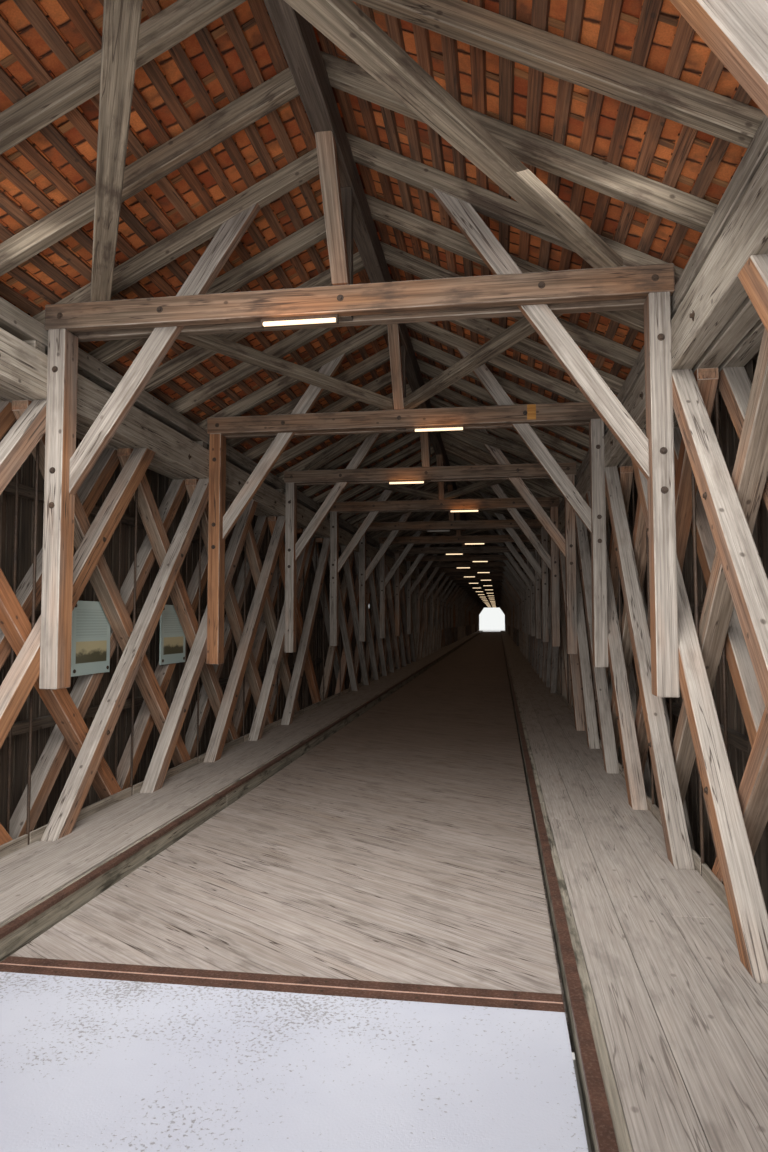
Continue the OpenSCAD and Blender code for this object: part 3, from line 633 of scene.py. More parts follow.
@dataclass(frozen=True)
class Timber:
    """Sawn softwood, weathered indoors: it greys, checks along the grain, and its latewood shows as lines.

    Faces that look along the bridge or up stay grey, and those that look up carry dust; those that look
    across it, turned from the light of the portals, take warmer colours as painted shade.
    The lines of the real wood, 0.3 mm apart on the model, are drawn 1 to 3 mm apart so that they show.
    The colours are those of old timber (pale, deep) and of newer timber (warm, warm_deep); faces that
    look across the bridge take the warm ones too, as painted shade. The shares from 0 to 1 are dusty,
    stains, checks, knots, figure, warmth (newer timber everywhere), the painted shade of faces across
    the bridge, spread (between one timber and the next) and inner (painted shade: a darker brown away
    from the portals, where their light falls off). The seam is half the width of a plank in millimetres,
    and relief the depth of the surface in metres.
    """

    name: str
    pale: str
    deep: str
    warm: str
    warm_deep: str
    stain: str = "#4b3b2f"
    edge: str = "#c6b9aa"
    dust: str = "#b9aea2"
    dusty: float = 0.35
    stains: float = 0.5
    checks: float = 0.8
    knots: float = 0.7
    figure: float = 0.13
    warmth: float = 0.0
    # painted shade: share of warmer colour on faces that look across the bridge
    across_shade: float = 0.0
    spread: float = 0.16
    relief: float = 0.0005
    # painted shade: share of a darker brown away from the portals
    inner: float = 0.0
    seam: float = 0.0

    def make(self) -> Finish:
        """Builds the material: fibres, streaks, blotches, stains, checks, knots, rubbed edges and dust, with
        painted shade on faces across the bridge and away from the portals.

        Returns:
            The material.
        """
        n = Nodes(self.name)
        tint, fresh, rubbed = (
            n.add("Attribute", out="Fac", attribute_name=label) for label in ("tint", "fresh", "rubbed")
        )
        grain = n.add("UVMap", uv_map="grain")
        # each timber reads its patterns from another place; scales are waves per metre along and across
        step = n.add("VectorMath", {0: (37.1, 91.7, 0.0), 3: tint}, operation="SCALE")
        where = n.add("VectorMath", {0: grain, 1: step}, operation="ADD")
        fibre, streak, blotch, stain, check, sparse = (
            n.add("TexNoise", {
                0: n.add("VectorMath", {0: where, 1: (along, across, 1.0)}, operation="MULTIPLY"),
                2: 1.0, 3: detail, 4: 0.6}, noise_dimensions="2D")
            for along, across, detail in ((40.0, 1300.0, 1.0), (9.0, 330.0, 3.0), (7.0, 40.0, 2.0),
                                          (20.0, 75.0, 6.0), (5.0, 150.0, 2.0), (12.0, 30.0, 0.0))
        )
        rings = n.add("VectorMath", {0: where, 1: (5.0, 110.0, 1.0)}, operation="MULTIPLY")
        figure = n.add("TexWave", {0: rings, 1: 1.0, 2: 13.0, 3: 1.0, 4: 0.5, 5: 0.55}, out=1,
                       bands_direction="Y")
        branches = n.add("VectorMath", {0: where, 1: (22.0, 30.0, 1.0)}, operation="MULTIPLY")
        knot_cell = n.add("TexVoronoi", {0: branches, 2: 1.0}, voronoi_dimensions="2D")
        # the share of warm colour: newer timber from the timber's age and the blotches, and painted shade on
        # faces that look across the bridge, turned from the portal light
        axes = n.add("SeparateXYZ", {0: n.add("NewGeometry", out="Normal")}).node.outputs
        facing = n.add("MapRange", {0: n.add("Math", {0: axes["Y"]}, operation="ABSOLUTE"), 1: 0.15, 2: 0.6})
        up = n.add("MapRange", {0: axes["Z"], 1: 0.15, 2: 0.8})
        grey = n.add("Math", {0: facing, 1: up}, operation="MAXIMUM")
        share = n.add("Math", {0: grey, 1: -self.across_shade, 2: self.across_shade + self.warmth},
                      operation="MULTIPLY_ADD")
        share = n.add("Math", {0: blotch, 1: 1.2, 2: n.add("Math", {0: share, 1: fresh}, operation="ADD")},
                      operation="MULTIPLY_ADD")
        share = n.add("MapRange", {0: share, 1: 0.75, 2: 1.55})
        wide = n.add("Math", {0: blotch, 1: 0.3}, operation="MULTIPLY")
        mixed = n.add("Math", {0: streak, 1: 0.7, 2: wide}, operation="MULTIPLY_ADD")
        mixed = n.add("MapRange", {0: mixed, 1: 0.36, 2: 0.64})
        # new holds the warm colours of newer timber, which faces across the bridge also take as painted shade
        old = n.add("Mix", {0: mixed, 6: linear(self.deep), 7: linear(self.pale)}, **BLEND)
        new = n.add("Mix", {0: mixed, 6: linear(self.warm_deep), 7: linear(self.warm)}, **BLEND)
        colour = n.add("Mix", {0: share, 6: old, 7: new}, **BLEND)
        # dust on top, stains, and pale rubbed edges where no stain lies
        dust = n.add("Math", {0: up, 1: self.dusty}, operation="MULTIPLY")
        colour = n.add("Mix", {0: dust, 6: colour, 7: linear(self.dust)}, **BLEND)
        soil = n.add("MapRange", {0: stain, 1: 0.52, 2: 0.68, 3: 0.0, 4: self.stains})
        colour = n.add("Mix", {0: soil, 6: colour, 7: linear(self.stain)}, **BLEND)
        bright = n.add("MapRange", {0: stain, 1: 0.3, 2: 0.6, 3: 0.7, 4: 0.1})
        rub = n.add("Math", {0: rubbed, 1: bright}, operation="MULTIPLY")
        colour = n.add("Mix", {0: rub, 6: colour, 7: linear(self.edge)}, **BLEND)
        line = n.add("MapRange", {0: figure, 1: 0.55, 2: 1.0, 3: 0.0, 4: -self.figure})
        level = n.add("Math", {0: tint, 1: self.spread, 2: 0.79 - self.spread / 2}, operation="MULTIPLY_ADD")
        value = n.add("Math", {0: fibre, 1: 0.42, 2: level}, operation="MULTIPLY_ADD")
        value = n.add("Math", {0: value, 1: line}, operation="ADD")
        colour = n.add("HueSaturation", {2: value, 4: colour})
        # checks run where a long wave crosses its middle, and knots sit in some cells
        gap = n.add("Math", {0: check, 1: 0.5}, operation="SUBTRACT")
        gap = n.add("Math", {0: gap}, operation="ABSOLUTE")
        crack = n.add("Math", {0: n.add("MapRange", {0: gap, 1: 0.004, 2: 0.016, 3: self.checks, 4: 0.0}),
                               1: n.add("MapRange", {0: sparse, 1: 0.47, 2: 0.55})}, operation="MULTIPLY")
        cell = knot_cell.node.outputs["Color"]
        chosen = n.add("MapRange", {0: cell, 1: 0.45, 2: 0.5, 3: 0.0, 4: self.knots})
        knot = n.add("MapRange", {0: knot_cell, 1: 0.025, 2: 0.05, 3: 1.0, 4: 0.0})
        knot = n.add("Math", {0: knot, 1: chosen}, operation="MULTIPLY")
        dark = n.add("Math", {0: crack, 1: knot}, operation="MAXIMUM")
        if self.seam:
            off = n.add("Math", {0: n.add("SeparateXYZ", {0: grain}, out=1)}, operation="ABSOLUTE")
            seam = n.add("MapRange", {0: off, 1: self.seam * MM - 0.0006, 2: self.seam * MM, 3: 0.0, 4: 0.4})
            dark = n.add("Math", {0: dark, 1: seam}, operation="MAXIMUM")
        # painted shade: from the portals inwards the planks turn a darker brown, where the light through the
        # portals falls off; the stain pattern makes the border ragged
        if self.inner:
            along = n.add("Math", {0: n.add("SeparateXYZ", {0: n.add("TexCoord", out="Object")}, out=1)},
                          operation="ABSOLUTE")
            worn = n.add("Math", {0: stain, 1: 0.9, 2: along}, operation="MULTIPLY_ADD")
            inner_shade = n.add("MapRange", {0: worn, 1: 6.72, 2: 5.85, 3: 0.0, 4: self.inner})
            colour = n.add("Mix", {0: inner_shade, 6: colour, 7: linear("#644a30")}, **BLEND)
        colour = n.add("Mix", {0: dark, 6: colour, 7: linear("#3b2b20")}, **BLEND)
        height = n.add("Math", {0: fibre, 1: crack}, operation="SUBTRACT")
        rough = n.add("MapRange", {0: fibre, 1: 0.2, 2: 0.8, 3: 0.95, 4: 0.78})
        return n.finish(colour, rough, height, self.relief)


@dataclass(frozen=True)
class Clay:
    """Plain roof tile, pressed and fired clay: matt and gritty, each from another corner of the kiln.

    The grit of 0.1 mm on the model is drawn 1 mm wide so that it shows.
    """

    name: str
    light: str = "#dd8549"
    deep: str = "#9c4a22"
    soot: str = "#523322"

    def make(self) -> Finish:
        """Builds the material from a shade for each tile, clouds, soot, grit and a dark rim at the joints.

        Returns:
            The material.
        """
        n = Nodes(self.name)
        tint = n.add("Attribute", out="Fac", attribute_name="tint")
        step = n.add("VectorMath", {0: (53.1, 17.7, 0.0), 3: tint}, operation="SCALE")
        where = n.add("VectorMath", {0: n.add("UVMap", uv_map="grain"), 1: step}, operation="ADD")
        cloud, grit, soot = (
            n.add("TexNoise", {0: where, 2: scale, 3: 3.0, 4: 0.6}, noise_dimensions="2D")
            for scale in (90.0, 900.0, 45.0)
        )
        shade = n.add("Math", {0: tint, 1: 1.0, 2: -0.45}, operation="MULTIPLY_ADD")
        share = n.add("Math", {0: cloud, 1: 0.9, 2: shade}, operation="MULTIPLY_ADD")
        share = n.add("MapRange", {0: share, 1: 0.0, 2: 1.0})
        colour = n.add("Mix", {0: share, 6: linear(self.deep), 7: linear(self.light)}, **BLEND)
        dark = n.add("MapRange", {0: soot, 1: 0.5, 2: 0.75, 3: 0.0, 4: 0.75})
        colour = n.add("Mix", {0: dark, 6: colour, 7: linear(self.soot)}, **BLEND)
        along = n.add("SeparateXYZ", {0: n.add("UVMap", uv_map="grain")}, out=0)
        off = n.add("Math", {0: along}, operation="ABSOLUTE")
        rim = n.add("Math", {0: cloud, 1: 0.0030, 2: off}, operation="MULTIPLY_ADD")
        rim = n.add("MapRange", {0: rim, 1: 0.0088, 2: 0.0099, 3: 0.0, 4: 0.85})
        colour = n.add("Mix", {0: rim, 6: colour, 7: linear("#2b1a12")}, **BLEND)
        value = n.add("MapRange", {0: grit, 1: 0.2, 2: 0.8, 3: 0.82, 4: 1.15})
        colour = n.add("HueSaturation", {2: value, 4: colour})
        return n.finish(colour, 0.9, grit, 0.0003)


@dataclass(frozen=True)
class Concrete:
    """Cast concrete: pale cement skin with clouds and open pores, and on walls the lines of its boards.

    Its sand, 0.1 mm on the model, and its pores are drawn 1 to 2 mm wide so that they show. The share
    of pores is spots, and cover is how much more of them wheels and frost open at the joint and the edge.
    """

    name: str
    pale: str
    deep: str
    spot: str
    spots: float
    cover: float
    boarded: bool = False

    def make(self) -> Finish:
        """Builds the material in the frame's coordinates; specks thicken near the joint and the right edge.

        Returns:
            The material.
        """
        n = Nodes(self.name)
        where = n.add("TexCoord", out="Object")
        axes = n.add("SeparateXYZ", {0: where}).node.outputs
        cloud, grit, speck, zone = (
            n.add("TexNoise", {0: where, 2: scale, 3: detail, 4: 0.6})
            for scale, detail in ((12.0, 5.0), (900.0, 2.0), (520.0, 4.0), (16.0, 5.0))
        )
        skin = n.add("MapRange", {0: cloud, 1: 0.3, 2: 0.7})
        colour = n.add("Mix", {0: skin, 6: linear(self.deep), 7: linear(self.pale)}, **BLEND)
        far = n.add("Math", {0: axes["Y"]}, operation="ABSOLUTE")
        near_joint = n.add("MapRange", {0: far, 1: 6.44, 2: 6.25, 3: 0.0, 4: self.cover})
        near_edge = n.add("MapRange", {0: axes["X"], 1: 0.085, 2: 0.142, 3: 0.0, 4: self.cover})
        worn = n.add("Math", {0: near_joint, 1: near_edge}, operation="MAXIMUM")
        limit = n.add("Math", {0: zone, 1: -0.6, 2: 1.05}, operation="MULTIPLY_ADD")
        limit = n.add("Math", {0: limit, 1: worn}, operation="SUBTRACT")
        depth = n.add("Math", {0: speck, 1: limit}, operation="SUBTRACT")
        specks = n.add("MapRange", {0: depth, 1: 0.0, 2: 0.08, 3: 0.0, 4: self.spots})
        colour = n.add("Mix", {0: specks, 6: colour, 7: linear(self.spot)}, **BLEND)
        pits = n.add("Math", {0: specks, 1: -0.8}, operation="MULTIPLY")
        height = n.add("Math", {0: grit, 1: 0.4, 2: pits}, operation="MULTIPLY_ADD")
        if self.boarded:
            boards = n.add("Math", {0: axes["Z"], 1: 50.0}, operation="MULTIPLY")  # boards 20 mm wide
            line = n.add("MapRange", {0: n.add("Math", {0: boards}, operation="FRACT"), 1: 0.95, 2: 0.99})
            seam = n.add("Math", {0: line, 1: 0.4}, operation="MULTIPLY")
            colour = n.add("Mix", {0: seam, 6: colour, 7: linear("#8d877e")}, **BLEND)
            height = n.add("Math", {0: height, 1: line}, operation="SUBTRACT")
        return n.finish(colour, 0.9, height, 0.0004)


@dataclass(frozen=True)
class Steel:
    """Rolled steel or wrought iron with a brown rust skin: matt, cloudy, and bare where wheels rub it.

    The rust's own grain, 0.05 mm on the model, is drawn 1 mm wide so that it shows. A skin of rust
    hides most of the metal, so the share of metal is low.
    """

    name: str
    rust: str
    deep: str
    bare: str
    worn: float = 0.25

    def make(self) -> Finish:
        """Builds the material in the frame's own coordinates, from rust clouds and a share of bare metal.

        Returns:
            The material.
        """
        n = Nodes(self.name)
        where = n.add("TexCoord", out="Object")
        cloud, fine = (n.add("TexNoise", {0: where, 2: scale, 3: 4.0, 4: 0.65}) for scale in (70.0, 700.0))
        skin = n.add("MapRange", {0: cloud, 1: 0.3, 2: 0.7})
        colour = n.add("Mix", {0: skin, 6: linear(self.deep), 7: linear(self.rust)}, **BLEND)
        bare = n.add("MapRange", {0: fine, 1: 0.52, 2: 0.7, 3: 0.0, 4: self.worn})
        colour = n.add("Mix", {0: bare, 6: colour, 7: linear(self.bare)}, **BLEND)
        rough = n.add("MapRange", {0: fine, 1: 0.3, 2: 0.7, 3: 0.8, 4: 0.5})
        return n.finish(colour, rough, fine, 0.0002, 0.25)


@dataclass(frozen=True)
class Glow:
    """Opal cover of a tube lamp, extruded plastic: an even warm glow where lit, milky where not."""

    name: str
    colour: str
    strength: float

    def make(self) -> Finish:
        """Builds the material; its light is the shader's own emission, and the lamps below throw it.

        Returns:
            The material.
        """
        n = Nodes(self.name)
        n.shader.inputs["Emission Color"].default_value = linear(self.colour)
        n.shader.inputs["Emission Strength"].default_value = self.strength
        n.material.cycles.emission_sampling = "NONE"
        frost = n.add("TexNoise", {0: n.add("TexCoord", out="Object"), 2: 900.0, 3: 2.0})
        body = n.add("Mix", {0: frost, 6: linear("#bdb4a6"), 7: linear("#c9c1b4")}, **BLEND)
        return n.finish(body, 0.35, frost, 0.0001)


@dataclass(frozen=True)
class Panel:
    """Printed aluminium composite board, satin: pale green, plain bars above, a two-tone field below."""

    name: str
    low: Span
    high: Span
    step: float

    def make(self) -> Finish:
        """Builds the print from the board's own width and height; the second board repeats it a step on.

        Returns:
            The material.
        """
        n = Nodes(self.name)
        where = n.add("TexCoord", out="Object")
        axes = n.add("SeparateXYZ", {0: where}).node.outputs
        along = n.add("Math", {0: axes["Y"], 1: self.low[0] * MM}, operation="SUBTRACT")
        along = n.add("Math", {0: along, 1: self.step * MM}, operation="FLOORED_MODULO")
        across = n.add("MapRange", {0: along, 1: 0.0, 2: (self.high[0] - self.low[0]) * MM})
        up = n.add("MapRange", {0: axes["Z"], 1: self.low[1] * MM, 2: self.high[1] * MM})
        inside = n.add("Math", {0: across, 1: 0.5}, operation="SUBTRACT")
        inside = n.add("Math", {0: inside}, operation="ABSOLUTE")
        field_x = n.add("MapRange", {0: inside, 1: 0.40, 2: 0.41, 3: 1.0, 4: 0.0})
        rows = n.add("Math", {0: n.add("Math", {0: up, 1: 26.0}, operation="MULTIPLY")}, operation="FRACT")
        off = n.add("Math", {0: n.add("Math", {0: rows, 1: 0.5}, operation="SUBTRACT")}, operation="ABSOLUTE")
        bars = n.add("MapRange", {0: off, 1: 0.16, 2: 0.26})
        upper = n.add("MapRange", {0: up, 1: 0.50, 2: 0.51})
        below_edge = n.add("MapRange", {0: up, 1: 0.88, 2: 0.89, 3: 1.0, 4: 0.0})
        bars = n.add("Math", {0: bars, 1: field_x}, operation="MULTIPLY")
        band = n.add("Math", {0: upper, 1: below_edge}, operation="MULTIPLY")
        ink = n.add("Math", {0: bars, 1: band}, operation="MULTIPLY")
        ink = n.add("Math", {0: ink, 1: 0.28}, operation="MULTIPLY")
        colour = n.add("Mix", {0: ink, 6: linear("#b3c3bc"), 7: linear("#6d7c76")}, **BLEND)
        flat = n.add("VectorMath", {0: where, 1: (1.0, 60.0, 110.0)}, operation="MULTIPLY")
        cloud = n.add("TexNoise", {0: flat, 2: 1.0, 3: 4.0, 4: 0.65})
        horizon = n.add("Math", {0: cloud, 1: 0.25, 2: 0.18}, operation="MULTIPLY_ADD")
        tones = n.add("Math", {0: up, 1: horizon}, operation="SUBTRACT")
        tones = n.add("MapRange", {0: tones, 1: -0.03, 2: 0.03})
        tones = n.add("Mix", {0: tones, 6: linear("#5d5a45"), 7: linear("#c3b890")}, **BLEND)
        foot = n.add("MapRange", {0: up, 1: 0.16, 2: 0.165})
        head = n.add("MapRange", {0: up, 1: 0.45, 2: 0.455, 3: 1.0, 4: 0.0})
        shown = n.add("Math", {0: n.add("Math", {0: foot, 1: head}, operation="MULTIPLY"), 1: field_x},
                      operation="MULTIPLY")
        colour = n.add("Mix", {0: shown, 6: colour, 7: tones}, **BLEND)
        return n.finish(colour, 0.32, cloud, 0.00004)


@dataclass(frozen=True)
class Palette:
    """All finishes of the bridge."""

    grey: Finish
    brace: Finish
    chord: Finish
    tie: Finish
    roof: Finish
    newer: Finish
    dark: Finish
    wall: Finish
    batten: Finish
    shingle: Finish
    deck: Finish
    walk: Finish
    curb: Finish
    patch: Finish
    tile: Finish
    concrete: Finish
    slab: Finish
    iron: Finish
    steel: Finish
    slot_highlight: Finish
    lamp: Finish
    lamp_off: Finish
    panel: Finish

    @staticmethod
    def make() -> "Palette":
        """Builds every finish once."""
        return Palette(
            grey=Timber("weathered_spruce", "#a99e8f", "#7e7465", "#a0805f", "#77593f").make(),
            # braces: faces across the bridge take warmer colours as painted shade
            brace=Timber("weathered_spruce_braces", "#aaa094", "#82786d", "#a87852", "#7e5336", stains=0.3,
                         across_shade=0.75).make(),
            chord=Timber("bleached_spruce_chords", "#bbb0a0", "#918574", "#ae9475", "#836a50", stains=0.4,
                         checks=0.9).make(),
            tie=Timber("sooty_brown_ties", "#8f7f6f", "#635545", "#8a6344", "#5e4029", edge="#ada193",
                       stains=0.8, warmth=0.2, spread=0.2, figure=0.18).make(),
            # rafters and wind braces: a darker copy of the timber, painted shade of the roof space, where
            # little light reaches
            roof=Timber("sooty_rafters", "#9c8d78", "#5e5243", "#856648", "#58402d", edge="#a29684",
                        dusty=0.1, stains=0.8).make(),
            # newer timber: faces across the bridge also take warmer colours as painted shade
            newer=Timber("newer_larch", "#a08e7b", "#766655", "#b0764b", "#855436", warmth=0.28, across_shade=0.35,
                         stains=0.3).make(),
            dark=Timber("sooty_old_spruce", "#736558", "#4c4137", "#6e5040", "#463228", dusty=0.15,
                        edge="#82756a").make(),
            wall=Timber("dark_wall_boards", "#6c5d4e", "#40372e", "#6a4d3b", "#443228", dusty=0.15,
                        spread=0.3, edge="#746657").make(),
            batten=Timber("sawn_tile_battens", "#8a6347", "#5a3d2a", "#a2623a", "#6e4024", warmth=0.3,
                          spread=0.45, edge="#946d50", dusty=0.1, figure=0.2).make(),
            shingle=Timber("split_larch_shingles", "#9a7048", "#6a472d", "#b06f3e", "#7a4828", warmth=0.4,
                           spread=0.6, knots=0.0).make(),
            # deck and walk planks turn a darker brown away from the portals as painted shade (inner)
            deck=Timber("worn_road_planks", "#b6aba3", "#998d82", "#a8937d", "#877462", stain="#5b4d40",
                        dust="#bbb1a7", dusty=0.2, stains=0.5, checks=0.9, knots=0.2, figure=0.1, spread=0.12,
                        relief=0.0003, inner=0.75, seam=8.4).make(),
            walk=Timber("trodden_spruce_planks", "#b8aea3", "#a4998e", "#b19a82", "#957f69", dust="#b9b1a8",
                        dusty=0.25, stains=0.3, checks=0.5, knots=0.4, figure=0.14, spread=0.08,
                        relief=0.0003, inner=0.4).make(),
            curb=Timber("mossy_spruce_curbs", "#a59c89", "#777060", "#8b7c68", "#5f5545", stain="#3f3a2c",
                        stains=0.85, checks=0.9, dusty=0.2).make(),
            patch=Timber("new_repair_wood", "#c08a45", "#a06c30", "#c78a3e", "#a8702f", stains=0.1,
                         checks=0.0, knots=0.0).make(),
            tile=Clay("fired_clay_tile").make(),
            concrete=Concrete("board_marked_concrete", "#b5b1a8", "#938e85", "#5c574f", 0.35, 0.0,
                              boarded=True).make(),
            slab=Concrete("road_concrete", "#ccced6", "#c2c4ce", "#827d76", 0.65, 0.2).make(),
            iron=Steel("wrought_iron", "#54402f", "#30251d", "#6b635b", 0.15).make(),
            steel=Steel("rusty_rolled_steel", "#6c4c3d", "#452f26", "#93806f", 0.3).make(),
            # joint slot strip: rubbed steel, paler as a painted highlight of the bright line in the slot
            slot_highlight=Steel("rubbed_steel_painted_highlight", "#d9b6a4", "#b58b76", "#e8d5ca", 0.5).make(),
            lamp=Glow("lit_opal_cover", "#ffdfb4", 1.5).make(),
            lamp_off=Glow("unlit_opal_cover", "#ffdfb4", 0.0).make(),
            panel=Panel("printed_board", (-5991.0, 736.0), (-5923.0, 804.0), 183.5).make(),
        )


# Sub-assemblies


@dataclass(frozen=True)
class Trusses:
    """Chords, braces, blocks, posts and sleepers of both trusses."""

    size: BridgeSizes
    palette: Palette
    chord_seam: float = 0.15
    post_clear: float = 0.1
    post_seam: float = 0.05
    middle_clear: float = 0.05
    newer_share: float = 0.3
    newer_age: Span = (0.2, 0.5)
    blocks_fresh: float = 0.3
    sleeper_height: float = 16.0
    sleeper_margin: float = 6.0
    pier_sleeper_half: float = 60.0
    abutment_sleeper_half: float = 50.0
    abutment_sleepers: Span = (100.0, 430.0)

    def build(self) -> None:
        """Builds every timber of the trusses."""
        self.chords(self.size.top_chord, "top_chords", 11)
        self.chords(self.size.bottom_chord, "bottom_chords", 12)
        self.mains()
        self.counters()
        self.blocks()
        self.posts()
        self.sleepers()

    def chords(self, levels: Span, name: str, seed: int) -> None:
        """Lays three beams a side, in lengths of three bays with their joints a bay apart.

        Args:
            levels: underside and top of the beams.
            name: name of the solid.
            seed: seed of their shades.
        """
        s = self.size
        stock = Stock(seed)
        for k in range(3):
            x = s.truss_in + k * (s.beam + s.gap)
            cuts = cut_lengths(3 * s.bay, (k + 0.5) * s.bay, -s.chord_end, s.chord_end, self.chord_seam)
            stock.run(chamfered(rectangles(x, x + s.beam, *levels)), cuts)
        place(name + ".timbers", stock.doubled(), self.palette.chord)

    def braces(self, feet_out: bool, rise: float) -> tuple[list[Array], Array]:
        """Draws one plane of braces: leaning bars with level ends, each over two panels.

        Half the width of a level cut is depth * length / height / 2 for a bar of that depth.

        Args:
            feet_out: whether each foot stands nearer to its support than its head.
            rise: height of the seats above the bottom chord and below the top chord.

        Returns:
            Outlines in the YZ plane and grain directions.
        """
        s = self.size
        low, high = s.bottom_chord[1] + rise, s.top_chord[0] - rise
        outlines: list[Array] = []
        grains: list[tuple[float, float, float]] = []
        per_span = 2 * s.bays_per_span
        for span in range(s.spans):
            for i in range(s.bays_per_span - 1):
                for start, step in ((span * per_span + i, 2), ((span + 1) * per_span - i, -2)):
                    outer, inner = float(s.panel_y(start)), float(s.panel_y(start + step))
                    foot, head = (outer, inner) if feet_out else (inner, outer)
                    half = s.brace_depth * math.hypot(head - foot, high - low) / (high - low) / 2
                    ends = (foot - half, low), (foot + half, low), (head + half, high), (head - half, high)
                    shape = np.array(ends)
                    way = 1.0 if step > 0 else -1.0
                    if i == 0:
                        face = outer + way * (s.post_half + self.post_clear)
                        shape = clipped(shape, (-way, 0.0), -way * face)
                    if i == s.bays_per_span - 2:
                        shape = clipped(shape, (way, 0.0), way * (inner - way * self.middle_clear))
                    outlines.append(shape)
                    grains.append((0.0, head - foot, high - low))
        return outlines, np.array(grains)

    def mains(self) -> None:
        """Main braces in the inner and outer planes; a few of each side are newer."""
        s = self.size
        shapes, grain = self.braces(True, 0.0)
        for side, seed in ((Side.RIGHT, 21), (Side.LEFT, 23)):
            rng = np.random.default_rng(seed)
            stock = Stock(seed)
            for k in (0, 2):
                x = s.truss_in + k * (s.beam + s.gap)
                newer = rng.random(len(shapes)) < self.newer_share
                age = np.where(newer, rng.uniform(*self.newer_age, len(shapes)), 0.0)
                stock.add(shapes, x, x + s.beam, Plane.ACROSS_X, grain, fresh=age)
            name = f"main_braces_{side.name.lower()}"
            place(name + ".timbers", side.turned(stock), self.palette.brace)

    def counters(self) -> None:
        """Counter braces in the middle plane, of newer timber; those on the left are the freshest."""
        s = self.size
        shapes, grain = self.braces(False, s.block[1])
        x = s.truss_in + s.beam + s.gap
        for side, seed, low, high in ((Side.RIGHT, 31, -0.35, 0.3), (Side.LEFT, 33, -0.1, 0.6)):
            stock = Stock(seed)
            age = np.random.default_rng(seed).uniform(low, high, len(shapes))
            stock.add(shapes, x, x + s.beam, Plane.ACROSS_X, grain, fresh=age)
            name = f"counter_braces_{side.name.lower()}"
            place(name + ".timbers", side.turned(stock), self.palette.newer)

    def blocks(self) -> None:
        """Hardwood bearing blocks on the chords at each panel point."""
        s = self.size
        i = np.array([i for i in range(1, s.panels) if i % (2 * s.bays_per_span)])
        y = s.panel_y(i)
        x = s.truss_in + s.beam + s.gap
        cuts = np.stack([y - s.block[0] / 2, y + s.block[0] / 2], axis=1)
        stock = Stock(41)
        for low in (s.bottom_chord[1], s.top_chord[0] - s.block[1]):
            shape = rectangles(x, x + s.beam, low, low + s.block[1])
            stock.run(shape, cuts, bevel=0.5, fresh=self.blocks_fresh)
        place("bearing_blocks.timbers", stock.doubled(), self.palette.newer)

    def posts(self) -> None:
        """Posts over the supports, each of three timbers side by side."""
        s = self.size
        stock = Stock(43)
        y = s.panel_y(np.arange(1, s.spans) * 2 * s.bays_per_span)
        lows = [-s.chord_end, *(y - s.post_half), s.chord_end - s.end_post]
        highs = [s.end_post - s.chord_end, *(y + s.post_half), s.chord_end]
        edges = np.linspace(s.truss_in, s.truss_out, 4)
        for low, high in zip(lows, highs):
            shape = chamfered(rectangles(edges[:-1] + self.post_seam, edges[1:] - self.post_seam, low, high))
            stock.add(shape, s.bottom_chord[1], s.top_chord[0], Plane.UP_Z)
        place("support_posts.timbers", stock.doubled(), self.palette.grey)

    def sleepers(self) -> None:
        """Bearing sleepers under the chords, on the piers and the abutments."""
        s = self.size
        piers = s.panel_y(np.arange(1, s.spans) * 2 * s.bays_per_span)
        spots = [(y, self.pier_sleeper_half) for y in piers]
        spots += [(way * (s.half - at), self.abutment_sleeper_half)
                  for way in (-1, 1) for at in self.abutment_sleepers]
        y, half = np.array(spots).T
        low = s.bottom_chord[0] - self.sleeper_height
        shape = chamfered(rectangles(s.truss_in - self.sleeper_margin, s.truss_out + self.sleeper_margin, low,
                                     s.bottom_chord[0]))
        stock = Stock(45)
        stock.run(shape, np.stack([y - half, y + half], axis=1))
        place("bearing_sleepers.timbers", stock.doubled(), self.palette.dark)


